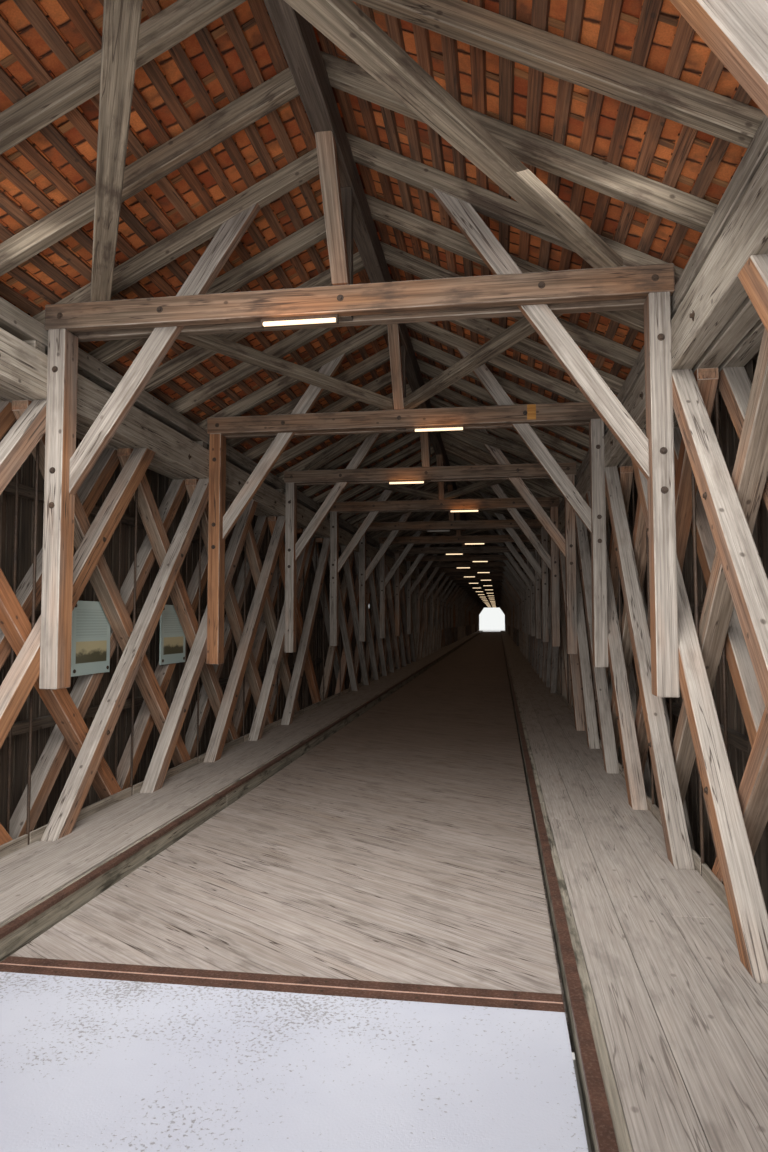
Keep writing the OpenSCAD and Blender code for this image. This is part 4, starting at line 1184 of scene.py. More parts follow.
@dataclass(frozen=True)
class RoadFloor:
    """Floor beams, stringers, planks, sidewalks and curbs."""

    size: BridgeSizes
    palette: Palette
    beam_clear: float = 16.0
    beam_offset: float = 8.0
    beam_half: float = 6.0
    beam_past: float = 10.0
    slant: float = math.radians(33.0)
    plank: float = 17.0
    under_planks: int = 500
    seam: float = 0.2
    stringer_lengths: int = 12
    stringer_rows: int = 5
    stringer_spacing: float = 90.0
    stringer_width: float = 20.0
    right_seams: Span = (25.0, 56.0)
    left_seams: tuple[float] = (31.0,)
    lane_seam: float = 0.22
    lane_length: float = 675.0
    lane_shifts: Span = (150.0, 231.0)
    joist: Span = (206.0, 216.0)
    joist_length: float = 590.0
    joist_shift: float = 300.0
    kick_clear: float = 0.3
    bolt_spacing: float = 48.0
    bolt_start: float = 36.5
    bolt_rows: Span = (-5.0, 5.0)

    def build(self) -> None:
        """Builds every timber of the floor."""
        self.beams()
        self.stringers()
        self.road()
        self.walks()
        self.kicks()
        self.joint_line()

    def beams(self) -> None:
        """Floor beams, a pair at each panel point between the steel joints, but none over a pier."""
        s = self.size
        first = math.ceil((s.joint + self.beam_clear) / (s.bay / 2))
        i = np.array([i for i in range(first, s.panels - first + 1) if i % (2 * s.bays_per_span)])
        stock = Stock(51)
        for side in (-self.beam_offset, self.beam_offset):
            y = s.panel_y(i) + side
            shape = chamfered(rectangles(y - self.beam_half, y + self.beam_half, *s.floor_beam))
            stock.add(shape, -(s.truss_out + self.beam_past), s.truss_out + self.beam_past, Plane.ACROSS_X)
        place("floor_beams.timbers", stock, self.palette.dark)

    def stringers(self) -> None:
        """Stringers under the deck, in a few lengths each."""
        s = self.size
        stock = Stock(52)
        reach = s.joint_y + s.core_setback - 1.0
        cuts = np.linspace(-reach, reach, self.stringer_lengths + 1)
        row = np.arange(self.stringer_rows) - (self.stringer_rows - 1) / 2
        x = np.repeat(self.stringer_spacing * row, self.stringer_lengths)
        half = self.stringer_width / 2
        low = np.tile(cuts[:-1] + self.seam, self.stringer_rows)
        high = np.tile(cuts[1:] - self.seam, self.stringer_rows)
        stock.add(rectangles(x - half, x + half, s.bottom_chord[0], s.deck[0]), low, high, Plane.ALONG_Y)
        place("stringers.timbers", stock, self.palette.dark)

    def road(self) -> None:
        """Cross planks below and slanting road planks on top, which wheels have worn nearly level."""
        s = self.size
        under = Stock(53)
        inner = s.joint_y - s.joint_slot / 2 - s.steel
        cuts = np.linspace(-inner, inner, self.under_planks + 1)
        shape = rectangles(-s.truss_in + 4, s.truss_in - 4, cuts[:-1] + self.seam, cuts[1:] - self.seam)
        under.add(shape, s.deck[0], s.deck[1], Plane.UP_Z, (1, 0, 0), bevel=0.0)
        start = -s.joint_y + s.joint_half + 0.15
        left, right = -s.road_left, s.road_right
        fall = math.tan(self.slant) * (right - left)
        pitch = self.plank / math.cos(self.slant)
        rng = np.random.default_rng(54)
        y = start + pitch * np.arange(int((-2 * start + fall) / pitch) + 1)
        end = y + pitch - rng.uniform(0.10, 0.22, len(y))
        x0, x1 = np.full_like(y, left), np.full_like(y, right)
        shapes = np.stack([x0, y, x1, y - fall, x1, end - fall, x0, end], axis=1).reshape(-1, 4, 2)
        cut = [clipped(clipped(shape, (0.0, -1.0), -start), (0.0, 1.0), -start) for shape in shapes]
        cut = [shape for shape in cut if len(shape) > 2 and np.ptp(shape, axis=0).min() > 3]
        tops = s.deck[2] - rng.uniform(0.0, 0.08, len(cut))
        road = Stock(55)
        grain = math.cos(self.slant), -math.sin(self.slant), 0.0
        age = rng.uniform(-0.1, 0.15, len(cut))
        road.add(cut, s.deck[1], tops, Plane.UP_Z, grain, bevel=0.0, fresh=age)
        place("road_deck.planks", under.joined(road), self.palette.deck)

    def walks(self) -> None:
        """Sidewalk planks with notches for the braces, and the timbers that carry them."""
        s = self.size
        planks, framing = Stock(56), Stock(57)
        strips = self.free_strips()
        sides = ((Side.RIGHT, s.road_right, self.right_seams), (Side.LEFT, s.road_left, self.left_seams))
        for side, edge, seams in sides:
            part, frame = Stock(58), Stock(59)
            first = edge + s.curb_face + s.curb
            lanes = [first, *(first + seam for seam in seams), s.truss_in]
            for lane, (a, b) in enumerate(zip(lanes[:-1], lanes[1:])):
                shift = self.lane_shifts[0] + self.lane_shifts[1] * lane
                cuts = cut_lengths(self.lane_length, shift, -s.chord_end, s.chord_end, 0.12)
                part.run(rectangles(a + self.lane_seam, b - self.lane_seam, *s.walk), cuts, bevel=0.2)
            part.run(rectangles(s.truss_in - self.lane_seam, s.truss_in + s.beam, *s.walk), strips, bevel=0.2)
            cuts = cut_lengths(self.joist_length, self.joist_shift, -s.chord_end, s.chord_end, 0.3)
            for a, b, top in ((edge + s.curb_face, first, s.walk[1] - s.steel), (*self.joist, s.walk[0])):
                frame.run(rectangles(a, b, s.deck[1], top), cuts)
            planks = planks.joined(side.turned(part))
            framing = framing.joined(side.turned(frame))
        place("sidewalks.planks", planks, self.palette.walk)
        place("walk_framing.timbers", framing, self.palette.curb)

    def kicks(self) -> None:
        """Kick boards in the gap that the rods pass through."""
        s = self.size
        i = np.arange(s.panels)
        per_span = 2 * s.bays_per_span
        at_end = s.end_post - s.overhang
        near = np.where(i % per_span == 0, s.post_half, s.rod_clear)
        far = np.where((i + 1) % per_span == 0, s.post_half, s.rod_clear)
        near, far = np.where(i == 0, at_end, near), np.where(i == s.panels - 1, at_end, far)
        stock = Stock(60)
        x = s.truss_in + s.beam
        shape = rectangles(x + self.kick_clear, x + s.gap - self.kick_clear, s.walk[0], s.kick_top)
        cuts = np.stack([s.panel_y(i) + near, s.panel_y(i + 1) - far], axis=1)
        stock.run(shape, cuts, bevel=0.3, fresh=0.2)
        place("kick_boards.boards", stock.doubled(), self.palette.grey)

    def joint_line(self) -> None:
        """Pale strip in the slot of each steel joint, rubbed steel with a painted highlight, and the
        countersunk bolts that hold its steels.
        """
        s = self.size
        slot_highlight, heads = Stock(64), Stock(66)
        x = np.arange(-s.road_left + self.bolt_start, s.road_right, self.bolt_spacing)
        for end in (-s.joint_y, s.joint_y):
            # painted highlight: a pale strip flush with the deck stands for the bright line of light in the
            # slot
            shape = rectangles(end - 0.7, end + 0.7, s.deck[2] - 3.0, s.deck[2] - 0.05)
            slot_highlight.add(shape, -s.road_left, s.road_right, Plane.ACROSS_X, bevel=0.2)
            for row in self.bolt_rows:
                spots = np.stack([x, np.full_like(x, end + row)], axis=1)
                heads.add(discs(0.9, spots, 8), s.deck[2] - 0.1, s.deck[2] + 0.12, Plane.UP_Z, bevel=0.0)
        place("joint_slot_edge", slot_highlight, self.palette.slot_highlight)
        place("joint_bolts", heads, self.palette.iron)

    def free_strips(self) -> Array:
        """Finds the stretches of the outermost plank between the inner braces' feet and the support posts.

        Returns:
            Rows of start and end.
        """
        s = self.size
        run = s.bay / (s.top_chord[0] - s.bottom_chord[1])
        half = s.brace_depth * math.hypot(1.0, run) / 2
        near = (s.walk[0] - s.bottom_chord[1]) * run - half
        far = (s.walk[1] - s.bottom_chord[1]) * run + half
        per_span = 2 * s.bays_per_span
        taken = []
        for span in range(s.spans):
            for i in range(s.bays_per_span - 1):
                y = float(s.panel_y(span * per_span + i))
                taken.append((y + near, y + far))
                y = float(s.panel_y((span + 1) * per_span - i))
                taken.append((y - far, y - near))
        for k in range(1, s.spans):
            y = float(s.panel_y(k * per_span))
            taken.append((y - s.post_half, y + s.post_half))
        taken += [(-s.chord_end, s.end_post - s.chord_end), (s.chord_end - s.end_post, s.chord_end)]
        taken = np.array(sorted(taken))
        rows = np.stack([np.maximum.accumulate(taken[:, 1])[:-1], taken[1:, 0]], axis=1)
        return rows[rows[:, 1] - rows[:, 0] > 1.5]


@dataclass(frozen=True)
class CrossFrames:
    """Ties, hanging posts, knee braces, ridge posts and struts, and wind braces."""

    size: BridgeSizes
    palette: Palette
    near: int = 4
    new_post: int = 3
    new_post_age: float = 1.6
    frame_clear: float = 0.1
    knee_reach: Span = (-30.0, 257.0)
    knee_drop: float = 25.0
    wind_clear: float = 0.5
    patch: tuple[float, float, float, float] = (147.0, 157.0, 1014.0, 1031.5)

    @property
    def stations(self) -> Array:
        """Places of the cross frames along the bridge."""
        return self.size.bay_y(np.arange(self.size.bays + 1))

    def build(self) -> None:
        """Builds every timber of the cross frames."""
        self.ties()
        self.hanging_posts()
        self.knees()
        self.ridge()
        self.wind()

    def ties(self) -> None:
        """Tie beams in pairs, and a piece let into the face of one of them."""
        s = self.size
        y = self.stations
        stock = Stock(61)
        for side in (-1, 1):
            low = y + side * s.tie_thick - s.tie_thick / 2
            age = np.random.default_rng(62 + side).uniform(0.1, 0.5, len(y))
            shape = chamfered(rectangles(low, low + s.tie_thick, *s.tie))
            stock.add(shape, -s.plate[0], s.plate[0], Plane.ACROSS_X, fresh=age)
        place("tie_beams.timbers", stock, self.palette.tie)
        stock = Stock(62)
        x0, x1, z0, z1 = self.patch
        face = float(y[self.new_post]) - 1.5 * s.tie_thick
        stock.add(rectangles(x0, x1, z0, z1), face - 0.25, face + 0.5, Plane.ALONG_Y, (1, 0, 0), bevel=0.1)
        place("tie_patch", stock, self.palette.patch)

    def hanging_posts(self) -> None:
        """Hanging posts below the near timber of each tie; one on the left is new."""
        s = self.size
        y = self.stations
        for side, seed in ((Side.RIGHT, 63), (Side.LEFT, 67)):
            rng = np.random.default_rng(seed)
            newer = rng.random(len(y)) < 0.25
            age = np.where(newer, rng.uniform(0.4, 0.9, len(y)), rng.uniform(-0.1, 0.2, len(y)))
            age[: self.near] = 0.0
            if side is Side.LEFT:
                age[self.new_post] = self.new_post_age
            stock = Stock(seed)
            foot = s.truss_in - s.hanging_width
            shape = chamfered(rectangles(foot, s.truss_in, y - 1.5 * s.tie_thick, y + s.tie_half_gap))
            stock.add(shape, s.hanging_foot, s.tie[0], Plane.UP_Z, fresh=age)
            name = f"hanging_posts_{side.name.lower()}"
            place(name + ".timbers", side.turned(stock), self.palette.brace)

    def knees(self) -> None:
        """Knee braces from the hanging posts past the ties to the rafters."""
        s = self.size
        y = self.stations
        foot = s.truss_in - s.hanging_width
        half = s.knee_depth * math.hypot(1.0, s.knee_slope) / s.knee_slope / 2
        half_gap = s.tie_half_gap - self.frame_clear
        below, above = self.knee_reach
        ends = ((below, -half), (below, half), (above, half), (above, -half))
        knee = np.array([[foot - rise / s.knee_slope + out, s.knee_z + rise] for rise, out in ends])
        knee = clipped(knee, (1.0, 0.0), foot)
        knee = clipped(knee, (0.0, -1.0), -(s.knee_z - self.knee_drop))
        knee = clipped(knee, (math.tan(s.pitch), 1.0), s.rafter_z)
        for side, seed in ((Side.RIGHT, 65), (Side.LEFT, 69)):
            age = np.random.default_rng(seed).uniform(-0.1, 0.45, len(y))
            age[: self.near] = 0.05
            stock = Stock(seed)
            stock.add([knee] * len(y), y - half_gap, y + half_gap, Plane.ALONG_Y, (-1.0, 0.0, s.knee_slope),
                      fresh=age)
            name = f"knee_braces_{side.name.lower()}"
            place(name + ".timbers", side.turned(stock), self.palette.brace)

    def ridge(self) -> None:
        """Ridge posts and the raking struts before them."""
        s = self.size
        y = self.stations
        half = s.ridge_post / 2
        stock = Stock(71)
        half_gap = s.tie_half_gap - self.frame_clear
        shape = chamfered(rectangles(-half, half, y - half_gap, y + half_gap))
        stock.add(shape, s.tie[0], s.purlin[0], Plane.UP_Z)
        place("ridge_posts.timbers", stock, self.palette.dark)
        foot = y[1:] - s.strut_setback
        head = foot - s.strut_lean
        rise = s.purlin[0] - s.tie[1]
        wide = s.tie_thick * math.hypot(s.strut_lean, rise) / rise / 2
        low, high = np.full_like(foot, s.tie[1]), np.full_like(foot, s.purlin[0])
        shape = np.stack([foot - wide, low, foot + wide, low, head + wide, high, head - wide, high], axis=1)
        stock = Stock(72)
        stock.add(shape.reshape(-1, 4, 2), -half, half, Plane.ACROSS_X, (0.0, -s.strut_lean, rise), fresh=0.2)
        place("ridge_struts.timbers", stock, self.palette.newer)

    def wind(self) -> None:
        """Wind braces lying on the ties, from the plates to the middle of each second tie."""
        s = self.size
        end_x, width, depth = s.wind
        start, stop = s.tie_thick / 2, s.bay - s.tie_thick / 2
        half = width * math.sqrt(1 + (end_x / (s.bay - 2 * s.tie_thick)) ** 2) / 2
        low, high = start - depth, stop + depth / 2
        shape = np.array([[end_x - half, low], [end_x + half, low], [half, high], [-half, high]])
        inner = s.ridge_post / 2 + self.wind_clear
        sides = (((-1.0, 0.0), -inner), ((1.0, 0.0), s.plate[0]), ((0.0, -1.0), -start), ((0.0, 1.0), stop))
        for normal, limit in sides:
            shape = clipped(shape, normal, limit)
        stock = Stock(73)
        for odd in (0, 1):
            k = np.arange(odd, s.bays, 2)
            base = s.bay_y(k + odd)
            way = -1.0 if odd else 1.0
            flat = (shape * np.array([1.0, way]))[:: -1 if odd else 1]
            outlines = flat[None] + np.stack([np.zeros_like(base), base], axis=-1)[:, None]
            grain = -end_x, way * s.bay, 0.0
            stock.add(outlines, s.tie[1], s.tie[1] + depth, Plane.UP_Z, grain, fresh=0.05)
        place("wind_braces.timbers", stock.doubled(), self.palette.roof)


@dataclass(frozen=True)
class Roof:
    """Purlin, plates, rafters, battens, tiles and barge boards."""

    size: BridgeSizes
    palette: Palette
    length_shift: float = 500.0
    rafter_half: float = 5.0
    tile_width: float = 18.12
    tile_hang: float = 3.0
    tile_past: float = 5.0
    tile_clear: float = 0.06
    tile_gap: Span = (0.1, 0.7)
    tile_slip: Span = (-0.6, 0.6)
    shingle_share: float = 0.28
    shingle_half: Span = (1.4, 3.2)
    plate_block: tuple[float, float, float] = (16.0, 7.0, 2.0)
    ridge_half: float = 15.0
    ridge_pitch: float = 38.0
    ridge_past: float = 4.8
    barge_thick: float = 3.0
    barge_depth: float = 20.0

    @property
    def down_slope(self) -> tuple[float, float, float]:
        """Direction down the right slope."""
        return math.cos(self.size.pitch), 0.0, -math.sin(self.size.pitch)

    def on_slope(self, flat: Array) -> Array:
        """Turns points down and square to the right slope into the XZ plane.

        The point (a, b) goes to (a cos t + b sin t, ridge - a sin t + b cos t) for the pitch t.

        Args:
            flat: points, shape (..., 2).

        Returns:
            Points in the XZ plane, of the same shape.
        """
        s = self.size
        c, q = math.cos(s.pitch), math.sin(s.pitch)
        x = flat[..., 0] * c + flat[..., 1] * q
        z = -flat[..., 0] * q + flat[..., 1] * c + s.rafter_z + s.rafter_depth / c
        return np.stack([x, z], axis=-1)

    def build(self) -> None:
        """Builds the roof from the purlin up."""
        self.purlin()
        self.plates()
        self.rafters()
        self.battens()
        self.tiles()
        self.shingles()
        self.ridge_tiles()
        self.barge()

    def purlin(self) -> None:
        """Ridge purlin in lengths of three bays."""
        s = self.size
        cuts = cut_lengths(3 * s.bay, self.length_shift, -s.verge_end, s.verge_end)
        stock = Stock(81)
        stock.run(chamfered(rectangles(-s.purlin_half, s.purlin_half, *s.purlin)), cuts)
        place("ridge_purlin.timbers", stock, self.palette.dark)

    def plates(self) -> None:
        """Wall plates, and the blocks between them and the top chords beside each tie."""
        s = self.size
        cuts = cut_lengths(3 * s.bay, self.length_shift, -s.verge_end, s.verge_end)
        stock = Stock(82)
        stock.run(chamfered(rectangles(*s.plate)), cuts)
        at, half, inset_by = self.plate_block
        y = s.bay_y(np.arange(s.bays + 1))
        spots = np.concatenate([y - at, y + at])
        spots = spots[np.abs(spots) < s.chord_end - half]
        shape = rectangles(s.plate[0] + inset_by, s.plate[1] - inset_by, s.top_chord[1], s.plate[2])
        shapes = np.repeat(shape, len(spots), 0)
        stock.add(shapes, spots - half, spots + half, Plane.ALONG_Y, (1, 0, 0), bevel=0.5)
        place("wall_plates.timbers", stock.doubled(), self.palette.grey)

    def rafters(self) -> None:
        """Rafters with their seats on the purlin and the plate."""
        s = self.size
        drop = s.rafter_depth / math.cos(s.pitch)
        end = s.eaves - 6
        notch = (s.rafter_z - s.plate[3]) / math.tan(s.pitch)
        seat, cut = s.purlin_half, 0.1
        shape = np.array([[seat, s.under(seat)], [notch, s.plate[3]], [s.plate[1], s.plate[3]],
                          [s.plate[1], s.under(s.plate[1])], [end, s.under(end)], [end, s.under(end) + drop],
                          [cut, s.under(cut) + drop], [cut, s.purlin[1]], [seat, s.purlin[1]]], float)
        y = -s.half + np.arange(s.bays * s.rafters_per_bay + 1) * s.bay / s.rafters_per_bay
        for side, seed in ((Side.RIGHT, 83), (Side.LEFT, 85)):
            stock = Stock(seed)
            age = np.random.default_rng(seed).uniform(-0.15, 0.3, len(y))
            stock.add([shape] * len(y), y - self.rafter_half, y + self.rafter_half, Plane.ALONG_Y,
                      self.down_slope, bevel=0.6, fresh=age)
            name = f"rafters_{side.name.lower()}"
            place(name + ".timbers", side.turned(stock), self.palette.roof)

    def battens(self) -> None:
        """Tile battens in lengths of four bays, joined on rafters."""
        s = self.size
        pitch, width, thick = s.batten
        stock = Stock(87)
        rng = np.random.default_rng(88)
        for n in range(s.batten_count):
            start = s.batten_start + n * pitch
            cuts = cut_lengths(4 * s.bay, (n * 3 % 4 + 0.5) * s.bay, -s.verge_end, s.verge_end)
            stock.run(self.on_slope(rectangles(start, start + width, 0.0, thick)), cuts, bevel=0.0,
                      fresh=rng.uniform(-0.3, 0.5, len(cuts)))
        place("battens.timbers", stock.doubled(), self.palette.batten)

    def courses(self) -> Iterable[tuple[int, float, float, Array]]:
        """Lays out the courses of tiles from the ridge to the eaves.

        Yields:
            Course, start and stop down the slope, and the joints between its tiles along the bridge.
        """
        s = self.size
        pitch = s.batten[0]
        ends = s.verge_end + self.tile_past
        for row in range(s.batten_count):
            start = 3.0 + row * pitch
            stop = min(start + 2 * pitch + self.tile_hang, s.slope_length + 5.8)
            if stop - start > 6:
                first = -ends - (row % 2) * self.tile_width / 2
                yield row, start, stop, np.arange(first, ends, self.tile_width)

    def tiles(self) -> None:
        """Plain tiles hung on the battens in double lap.

        Each tile is a thin slab down the slope. Its underside starts on its batten and rises by a
        third of the covering for each batten pitch, so that neighbours in a column lie on one another.
        """
        s = self.size
        pitch, _, thick = s.batten
        lift = s.cover / 3.0
        ends = s.verge_end + self.tile_past
        for side, seed in ((Side.RIGHT, 91), (Side.LEFT, 93)):
            rng = np.random.default_rng(seed)
            stock = Stock(seed)
            for _, start, stop, y in self.courses():
                rise = lift / pitch
                far = thick + rise * (stop - start)
                skin = lift - self.tile_clear
                flat = np.array([[start, thick], [stop, far], [stop, far + skin], [start, thick + skin]])
                low = np.clip(y + rng.uniform(*self.tile_gap, len(y)), -ends, ends)
                high = np.clip(y + self.tile_width - rng.uniform(*self.tile_gap, len(y)), -ends, ends)
                low, high = low[high - low > 2], high[high - low > 2]
                slip = rng.uniform(*self.tile_slip, len(low)) * (stop < s.slope_length)
                shapes = self.on_slope(flat[None] + np.stack([slip, slip * rise], axis=-1)[:, None])
                stock.add(shapes, low, high, Plane.ALONG_Y, bevel=0.0)
            name = f"roof_tiles_{side.name.lower()}"
            place(name, side.turned(stock), self.palette.tile, ["roof_cover"])

    def shingles(self) -> None:
        """Narrow split shingles under some of the joints between tiles, let in flush with the battens."""
        s = self.size
        thick = s.batten[2]
        ends = s.verge_end - 1
        for side, seed in ((Side.RIGHT, 191), (Side.LEFT, 193)):
            rng = np.random.default_rng(seed)
            stock = Stock(seed)
            for _, start, stop, y in self.courses():
                y = y[(rng.random(len(y)) < self.shingle_share) & (np.abs(y) < ends - 4)]
                y = y + rng.uniform(-2.0, 2.0, len(y))
                half = rng.uniform(*self.shingle_half, len(y))
                flat = rectangles(start + 1, stop - self.tile_hang - s.batten[0], thick - 0.5, thick - 0.02)
                stock.add(np.repeat(self.on_slope(flat), len(y), 0), y - half, y + half, Plane.ALONG_Y,
                          self.down_slope, bevel=0.0)
            name = f"joint_shingles_{side.name.lower()}"
            place(name, side.turned(stock), self.palette.shingle)

    def ridge_tiles(self) -> None:
        """Arched ridge tiles, each butting on the next.

        Over the half width w and for t from -1 to 1 the top is at (w t, ridge + 3.5 - 8 t^2) and the
        underside 1.3 below it, falling a little faster.
        """
        s = self.size
        top = s.rafter_z + (s.rafter_depth + s.batten[2] + s.cover) / math.cos(s.pitch)
        t = np.linspace(-1.0, 1.0, 9)
        outer = np.stack([self.ridge_half * t, top + 3.5 - 8.0 * t**2], axis=-1)
        inner = np.stack([(self.ridge_half - 1.0) * t, top + 2.2 - 8.6 * t**2], axis=-1)
        shape = np.concatenate([outer[::-1], inner])
        reach = s.verge_end + self.ridge_past
        y = np.arange(-reach, reach - 20, self.ridge_pitch)
        end = np.append(y[1:], reach)
        stock = Stock(95)
        stock.add([shape] * len(y), y + 0.1, end - 0.1, Plane.ALONG_Y, bevel=0.0)
        place("ridge_tiles.tiles", stock, self.palette.tile)

    def barge(self) -> None:
        """Barge boards at the gables."""
        s = self.size
        shape = self.on_slope(rectangles(-10, s.slope_length, -self.barge_depth, s.batten[2]))[0]
        shape = clipped(clipped(shape, (-1.0, 0.0), -0.2), (1.0, 0.0), s.eaves - 6)
        stock = Stock(97)
        for low in (-s.verge_end - self.barge_thick, s.verge_end):
            stock.add([shape], low, low + self.barge_thick, Plane.ALONG_Y, self.down_slope, bevel=0.3)
        place("barge_boards.boards", stock.doubled(), self.palette.wall)


@dataclass(frozen=True)
class Walls:
    """Boarded walls with their frames, and the portal fronts."""

    size: BridgeSizes
    palette: Palette
    board_pitch: float = 18.0
    board_widths: Span = (10.8, 13.6)
    clear: float = 0.3
    stud_half: float = 5.0
    front_thick: float = 3.0
    front_start: float = 7.3

    def build(self) -> None:
        """Builds the walls."""
        self.frames()
        self.boards()
        self.portals()

    def frames(self) -> None:
        """Rails in lengths of two bays and studs at each tie."""
        s = self.size
        y = s.bay_y(np.arange(s.bays + 1))
        for side, seed in ((Side.RIGHT, 101), (Side.LEFT, 103)):
            stock = Stock(seed)
            for n, z in enumerate(s.rails):
                cuts = cut_lengths(2 * s.bay, (n % 2 + 0.5) * s.bay, -s.chord_end, s.chord_end)
                stock.run(rectangles(s.rail_in, s.board_in, z - s.rail_half, z + s.rail_half), cuts)
            shape = rectangles(*s.stud, y - self.stud_half, y + self.stud_half)
            stock.add(shape, s.bottom_chord[0], s.top_chord[1] - 8, Plane.UP_Z)
            name = f"wall_frame_{side.name.lower()}"
            place(name + ".timbers", side.turned(stock), self.palette.wall)

    def boards(self) -> None:
        """Two layers of upright boards, the outer over the gaps of the inner, cut at the windows."""
        s = self.size
        middle = (s.board_in + s.board_out) / 2
        top = s.rafter_z - math.tan(s.pitch) * s.board_out - self.clear
        half = s.window[0] / 2
        holes = s.bay_y(np.array(s.window_bays))
        rng = np.random.default_rng(105)
        stock = Stock(105)
        count = int(2 * s.chord_end / self.board_pitch)
        pitch = 2 * s.chord_end / count
        for layer, (x0, x1) in enumerate(((s.board_in, middle - 0.02), (middle + 0.02, s.board_out))):
            y = -s.chord_end + (np.arange(count + layer) + (0.0 if layer else 0.5)) * pitch
            wide = rng.uniform(*self.board_widths, len(y))
            low, high = (np.clip(y + way * wide / 2, -s.chord_end, s.chord_end) for way in (-1, 1))
            at_hole = ((high[:, None] > holes - half) & (low[:, None] < holes + half)).any(axis=1)
            for chosen, z0, z1 in ((at_hole, s.board_z, s.window[1]), (at_hole, s.window[2], top - 0.01),
                                   (~at_hole, s.board_z, top - 0.01)):
                age = rng.uniform(-0.1, 0.5, int(chosen.sum()))
                shapes = rectangles(x0, x1, low[chosen], high[chosen])
                stock.add(shapes, z0, z1, Plane.UP_Z, bevel=0.0, fresh=age)
        place("wall_boards.boards", stock.doubled(), self.palette.wall)

    def portals(self) -> None:
        """Upright boards of the portal fronts round the opening, up to the rafters.

        The lower edge is level over the road and falls in a straight line across each cut corner;
        the upper edge follows the underside of the rafters, cut round the purlin and the plates.
        """
        s = self.size
        inner = s.portal_half - s.portal_corner[0]
        plate = (s.plate[0] - self.clear, s.plate[1] + self.clear)
        start = self.front_start
        edges = np.concatenate([[0.0], np.linspace(start, inner, 9), np.linspace(inner, s.portal_half, 5)[1:],
                                [plate[0], plate[0] + 9.3], np.linspace(plate[1], s.board_out, 4)])
        ends = np.stack([edges[:-1] + 0.15, edges[1:] - 0.15])
        middle = ends.mean(axis=0)
        low = s.portal_top - np.clip((ends - inner) / s.portal_corner[0], 0, 1) * s.portal_corner[1]
        low = np.where(middle > s.portal_half, s.board_z, low)
        at_plate = (middle > plate[0]) & (middle < plate[1])
        high = np.where(at_plate, s.plate[2] - self.clear, s.under(ends) - 0.1)
        high = np.where(middle < start, s.purlin[0] - self.clear, high)
        shapes = np.stack([ends[0], low[0], ends[1], low[1], ends[1], high[1], ends[0], high[0]], axis=1)
        stock = Stock(107)
        for y in (-s.chord_end - self.front_thick, s.chord_end):
            stock.add(shapes.reshape(-1, 4, 2), y, y + self.front_thick, Plane.ALONG_Y, (0, 0, 1), bevel=0.25,
                      fresh=0.1)
        place("portal_fronts.boards", stock.doubled(), self.palette.wall)


